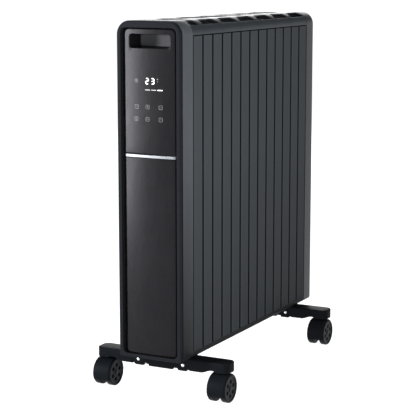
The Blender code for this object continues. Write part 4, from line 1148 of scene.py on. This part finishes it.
FOOT_Y = {"front": -227.3, "rear": 209.7}
FOOT_HALF = 17.5
BRACKET_HALF = 57.0
BRACKET_HIGH_Z = 72.2
BRACKET_LOW_Z = 48.5
PIVOT_X = 45.0
PIVOT_Z = 59.0
EAR_RADIUS = 12.0
NOTCH_X = 29.4
NOTCH_HALF = 3.5
NOTCH_DEPTH = 5.0
FORK_HALF = 9.5
FORK_ROOT_X = 32.6
FOOT_EDGE = 0.9

foot_plastic = moulded("foot_black", (0.0045, 0.0052, 0.0064), (0.009, 0.010, 0.011), 0.42, 0.8, 0.015,
                       0.012, COOL)

ear_start = math.degrees(math.asin((BRACKET_LOW_Z - PIVOT_Z) / EAR_RADIUS))
ear = arc((PIVOT_X, PIVOT_Z), EAR_RADIUS, ear_start, 0.0, 8)
bracket_right = np.concatenate([
    [(NOTCH_X - NOTCH_HALF - 2.5, BRACKET_LOW_Z), (NOTCH_X - NOTCH_HALF, BRACKET_LOW_Z + NOTCH_DEPTH),
     (NOTCH_X + NOTCH_HALF, BRACKET_LOW_Z + NOTCH_DEPTH), (NOTCH_X + NOTCH_HALF + 2.5, BRACKET_LOW_Z)], ear,
    arc((BRACKET_HALF - 2.0, BRACKET_HIGH_Z - 2.0), 2.0, 0.0, 90.0, 4)])
bracket_outline = np.concatenate([bracket_right, (bracket_right * (-1.0, 1.0))[::-1]])
core_outline = np.array([(-FORK_ROOT_X, BRACKET_LOW_Z + 1.5), (FORK_ROOT_X, BRACKET_LOW_Z + 1.5),
                         (FORK_ROOT_X, BRACKET_HIGH_Z - 0.2), (-FORK_ROOT_X, BRACKET_HIGH_Z - 0.2)])
for end, middle_y in FOOT_Y.items():
    parts = [prism(bracket_outline, "y", middle_y - FOOT_HALF, middle_y - FORK_HALF, FOOT_EDGE),
             prism(bracket_outline, "y", middle_y + FORK_HALF, middle_y + FOOT_HALF, FOOT_EDGE),
             prism(core_outline, "y", middle_y - FORK_HALF - 1.5, middle_y + FORK_HALF + 1.5)]
    add_piece(end + "_bracket_bar", parts, foot_plastic, "root", [end + "_bracket"])

# ---------------------------------------------------------------- pivot pins
# Plated steel rivets, one through each fork and arm, with low domed heads.

PIN_RADIUS = 2.2
PIN_HEAD_RADIUS = 3.0
PIN_HEAD = 1.2
PIN_REACH = 17.8

dome = np.radians(np.linspace(0.0, 90.0, 7))
dome_rings = [(PIN_HEAD_RADIUS * math.cos(t), PIN_REACH + PIN_HEAD * math.sin(t)) for t in dome[:-1]]
half_pin = dome_rings[::-1] + [(PIN_RADIUS, PIN_REACH), (PIN_RADIUS, 0.0)]
pin_profile = [(radius, -station) for radius, station in half_pin] + half_pin[::-1]
# Each foot's name, the side it is on and its middle along y.
FEET = [("%s_%s" % (end, word), side, middle_y) for end, middle_y in FOOT_Y.items()
        for word, side in (("right", 1.0), ("left", -1.0))]
for foot, side, middle_y in FEET:
    rivet = turned(pin_profile, (side * PIVOT_X, middle_y, PIVOT_Z), "y", 24, False, True, True)
    add_piece(foot + "_rivet", [rivet], zinc, "root", [foot + "_pivot_pin"])

# ---------------------------------------------------------------- folding arms
# Black moulded arms, thick at the fork and slimmer towards the caster, with a round boss
# under the outer end for the caster's stem. They swing down through 70 degrees.

ARM_START_X = 57.3
ARM_END_X = 133.0
ARM_HIGH_Z = 71.1
ARM_ROOT_LOW_Z = 49.9
ARM_WAIST_LOW_Z = 55.5
ARM_ROOT_X = 79.0
ARM_WAIST_X = 101.0
ARM_CORNER = 12.0
ARM_EDGE = 2.4
CASTER_X = 115.6
BOSS_RADIUS = 15.0
BOSS_LOW_Z = 52.1
TONGUE_RADIUS = 10.5
TONGUE_HALF = 9.2


def arm_section(x):
    """The arm cut across at x: a rounded box from its underside to its flat top.

    The underside is level as far as ARM_ROOT_X, rises along half a cosine wave to the waist,
    and falls along another to the level of the boss. The sides draw in at the outer end along
    quarter circles of ARM_CORNER.
    """
    rise = np.clip((x - ARM_ROOT_X) / (ARM_WAIST_X - ARM_ROOT_X), 0.0, 1.0)
    low = ARM_ROOT_LOW_Z + (ARM_WAIST_LOW_Z - ARM_ROOT_LOW_Z) * (1.0 - np.cos(np.pi * rise)) / 2.0
    fall = np.clip((x - ARM_WAIST_X - 2.0) / 8.0, 0.0, 1.0)
    low -= (ARM_WAIST_LOW_Z - BOSS_LOW_Z - 0.3) * (1.0 - np.cos(np.pi * fall)) / 2.0
    past = np.clip(x - (ARM_END_X - ARM_CORNER), 0.0, ARM_CORNER)
    half = FOOT_HALF - ARM_CORNER + math.sqrt(max(ARM_CORNER ** 2 - past ** 2, 0.0))
    tuck = ARM_EDGE - math.sqrt(max(ARM_EDGE ** 2 - max(x - (ARM_END_X - ARM_EDGE), 0.0) ** 2, 0.0))
    tuck += 0.8 - math.sqrt(max(0.64 - max(ARM_START_X + 0.8 - x, 0.0) ** 2, 0.0))
    ring = rounded(half, low + tuck, ARM_HIGH_Z - tuck, ARM_EDGE, ARM_EDGE, 5)
    return np.stack([np.full(len(ring), x), ring[:, 0], ring[:, 1]], axis=1)


arm_x = np.concatenate([ARM_START_X + 0.8 * (1.0 - np.cos(np.linspace(0.0, np.pi / 2.0, 4))),
                        np.linspace(62.0, ARM_ROOT_X, 4), np.linspace(ARM_ROOT_X, ARM_WAIST_X, 12)[1:],
                        np.linspace(103.0, 111.0, 7), [116.0, ARM_END_X - ARM_CORNER],
                        ARM_END_X - ARM_CORNER * (1.0 - np.sin(np.linspace(0.0, np.pi / 2.0, 15)[1:]))])
arm_bar = np.stack([arm_section(x) for x in arm_x])
boss_profile = [(4.4, 60.0), (4.4, BOSS_LOW_Z + 0.4), (5.0, BOSS_LOW_Z), (BOSS_RADIUS - 1.0, BOSS_LOW_Z),
                (BOSS_RADIUS - 0.3, BOSS_LOW_Z + 0.3), (BOSS_RADIUS, BOSS_LOW_Z + 1.0), (BOSS_RADIUS, 60.0)]
tongue_outline = np.concatenate([[(PIVOT_X + 24.0, PIVOT_Z - TONGUE_RADIUS + 1.0),
                                  (PIVOT_X + 24.0, PIVOT_Z + TONGUE_RADIUS)],
                                 arc((PIVOT_X, PIVOT_Z), TONGUE_RADIUS, 90.0, 270.0, 16)])


arm_parts = [skin(arm_bar, False, True, True, True), turned(boss_profile, (CASTER_X, 0.0, 0.0), "z", 40),
             prism(tongue_outline, "y", -TONGUE_HALF, TONGUE_HALF, 0.6)]
for foot, side, middle_y in FEET:
    add_piece(foot + "_folding_arm", [moved(part, (0.0, middle_y, 0.0), side) for part in arm_parts],
              foot_plastic, foot + "_arm", [foot + "_arm"])

# ---------------------------------------------------------------- caster hoods
# One moulding per caster: a fender over both wheels, low in front and open behind, and a
# plate between the wheels that carries the axle and the stem.

AXLE_Z = 24.5
CASTER_TRAIL = 5.0
HOOD_HALF = 17.6
HOOD_RADIUS = 27.1
HOOD_WALL = 1.6
HOOD_SHOULDER = 3.6
HOOD_FRONT_ANGLE = -24.0
HOOD_REAR_ANGLE = 182.0
WEB_PLATE_HALF = 6.3
WEB_HUB_RADIUS = 10.0


def hood_band():
    """The fender: a closed section of (across, radius) carried round the axle.

    Its outer side is flat with quarter-circle shoulders of HOOD_SHOULDER, and its inner side
    is about HOOD_WALL inside that. It runs from HOOD_FRONT_ANGLE over the top to the rear.
    """
    flat, lip = HOOD_HALF - HOOD_SHOULDER, HOOD_RADIUS - HOOD_SHOULDER
    half = HOOD_HALF - 0.5
    section = np.concatenate([
        arc((flat, lip), HOOD_SHOULDER, 0.0, 90.0, 8), arc((-flat, lip), HOOD_SHOULDER, 90.0, 180.0, 8),
        [(-half, lip), (-half + 1.0, 24.9), (-14.0, 25.3), (0.0, HOOD_RADIUS - HOOD_WALL), (14.0, 25.3),
         (half - 1.0, 24.9), (half, lip)]])
    angle = np.radians(np.linspace(HOOD_FRONT_ANGLE, HOOD_REAR_ANGLE, 49))[:, None]
    across = section[:, 0] + np.zeros_like(angle)
    along = -section[:, 1] * np.cos(angle)
    up = section[:, 1] * np.sin(angle)
    return skin(np.stack([across, along, up], axis=2), False, True, True, True)


hood_web = np.concatenate([arc((0.0, 0.0), HOOD_RADIUS - HOOD_WALL / 2.0, 28.0, 152.0, 16),
                           arc((0.0, 0.0), WEB_HUB_RADIUS, 205.0, 335.0, 12)])

hood_parts = [hood_band(), prism(hood_web, "x", -WEB_PLATE_HALF, WEB_PLATE_HALF, 0.5)]
for foot, side, middle_y in FEET:
    centre = (side * CASTER_X, middle_y - CASTER_TRAIL, AXLE_Z)
    add_piece(foot + "_hood", [moved(part, centre) for part in hood_parts], foot_plastic, foot + "_caster",
              [foot + "_caster_hood"])

# ---------------------------------------------------------------- stems and axles
# Plated steel: a stem that turns in each arm's boss, and a plain axle through each hood.

for foot, side, middle_y in FEET:
    finish_node(foot + "_caster_stem", zinc)
    finish_node(foot + "_axle", zinc)

# ---------------------------------------------------------------- wheels
# Moulded nylon wheels in pairs. Each outer face is dished inside its rim and has six round
# blind holes about a low hub, and the tread is rounded at both edges.

WHEEL_RADIUS = 24.5
WHEEL_INNER = 6.9
WHEEL_OUTER = 18.1
WHEEL_DISH = 1.3
DISH_RADIUS = 20.0
HUB_RADIUS = 6.0
HOLE_RING = 12.6
HOLE_RADIUS = 3.5
HOLE_DEPTH = 5.0
SECTOR_STEPS = 8

wheel_nylon = moulded("wheel_nylon", (0.0042, 0.0048, 0.0056), (0.009, 0.010, 0.011), 0.38, 1.0, 0.02,
                      0.06, COOL)


def wheel_sector(number):
    """A sixth of the wheel's dished face, with one blind hole.

    Rings go from the sector's border to the hole's rim, as border * (1 - w) + rim * w in
    angle and radius, then down the hole's wall to its floor.
    """
    middle = np.radians(60.0 * number + 22.5)
    reach = np.radians(30.0)
    corners = [(-reach, HUB_RADIUS), (-reach, DISH_RADIUS), (reach, DISH_RADIUS), (reach, HUB_RADIUS)]
    border = np.concatenate([walk([corners[k], corners[(k + 1) % 4]], steps)
                             for k, steps in enumerate((6, SECTOR_STEPS, 6, SECTOR_STEPS))])
    flat = np.stack([border[:, 1] * np.cos(border[:, 0]), border[:, 1] * np.sin(border[:, 0])], axis=1)
    toward = flat - (HOLE_RING, 0.0)
    toward /= np.linalg.norm(toward, axis=1, keepdims=True)
    rim = toward * (HOLE_RADIUS + 0.5) + (HOLE_RING, 0.0)
    rings = [(flat * (1.0 - share) + rim * share, 0.0) for share in (0.0, 0.4, 0.8, 1.0)]
    for radius, depth in ((HOLE_RADIUS + 0.15, 0.15), (HOLE_RADIUS, 0.5), (HOLE_RADIUS, HOLE_DEPTH)):
        rings.append((toward * radius + (HOLE_RING, 0.0), depth))
    turn = np.array([[np.cos(middle), np.sin(middle)], [-np.sin(middle), np.cos(middle)]])
    face = WHEEL_OUTER - WHEEL_DISH
    grid = [np.column_stack([np.full(len(ring), face - depth), ring @ turn]) for ring, depth in rings]
    return skin(np.stack(grid), False, True, False, True)


def wheel_turned():
    """The rest of the wheel, as a profile turned round the axle from the dish's border out
    over the rim, tread and inner face to the bore, and the hub's low dome."""
    steps = 6 * SECTOR_STEPS
    face = WHEEL_OUTER - WHEEL_DISH
    round_out = arc((WHEEL_RADIUS - 1.8, WHEEL_OUTER - 1.8), 1.8, 90.0, 0.0, 5)
    round_in = arc((WHEEL_RADIUS - 1.8, WHEEL_INNER + 1.8), 1.8, 0.0, -90.0, 5)
    outside = [(DISH_RADIUS, face), (DISH_RADIUS + 0.3, face + 0.2), (DISH_RADIUS + 0.6, WHEEL_OUTER - 0.3),
               (DISH_RADIUS + 1.0, WHEEL_OUTER), *round_out.tolist(), *round_in.tolist(),
               (12.0, WHEEL_INNER), (11.4, WHEEL_INNER + 1.0), (4.5, WHEEL_INNER + 1.0), (4.0, WHEEL_INNER),
               (2.8, WHEEL_INNER), (2.8, 15.9), (0.01, 15.9)]
    hub = [(HUB_RADIUS, face), (HUB_RADIUS - 0.3, face + 0.25), (HUB_RADIUS - 1.0, face + 0.8),
           (HUB_RADIUS - 3.0, face + 1.1), (0.01, face + 1.2)]
    return [turned(outside, (0.0, 0.0, 0.0), "x", steps, False, False, True),
            turned(hub, (0.0, 0.0, 0.0), "x", steps, False, False, True)]


def in_holes(point):
    """Whether points, taken from the wheel's centre, lie in a blind hole or the bore."""
    across, turn = np.abs(point[:, 0]), np.hypot(point[:, 1], point[:, 2])
    return ((across < WHEEL_OUTER - WHEEL_DISH - 0.4) & (across > WHEEL_INNER + 2.0)
            & (turn < DISH_RADIUS - 2.0))


wheel_parts = [wheel_sector(number) for number in range(6)] + wheel_turned()
for foot, side, middle_y in FEET:
    centre = np.array((side * CASTER_X, middle_y - CASTER_TRAIL, AXLE_Z))
    for hand, facing in (("right", 1.0), ("left", -1.0)):
        wheel = "%s_wheel_%s" % (foot, hand)
        parts = [moved(part, centre, facing) for part in wheel_parts]
        tyre = add_piece(wheel + "_tyre", parts, wheel_nylon, foot + "_wheels", [wheel])
        repaint(tyre, black_and_groove_shade, lambda point: in_holes(point - centre))
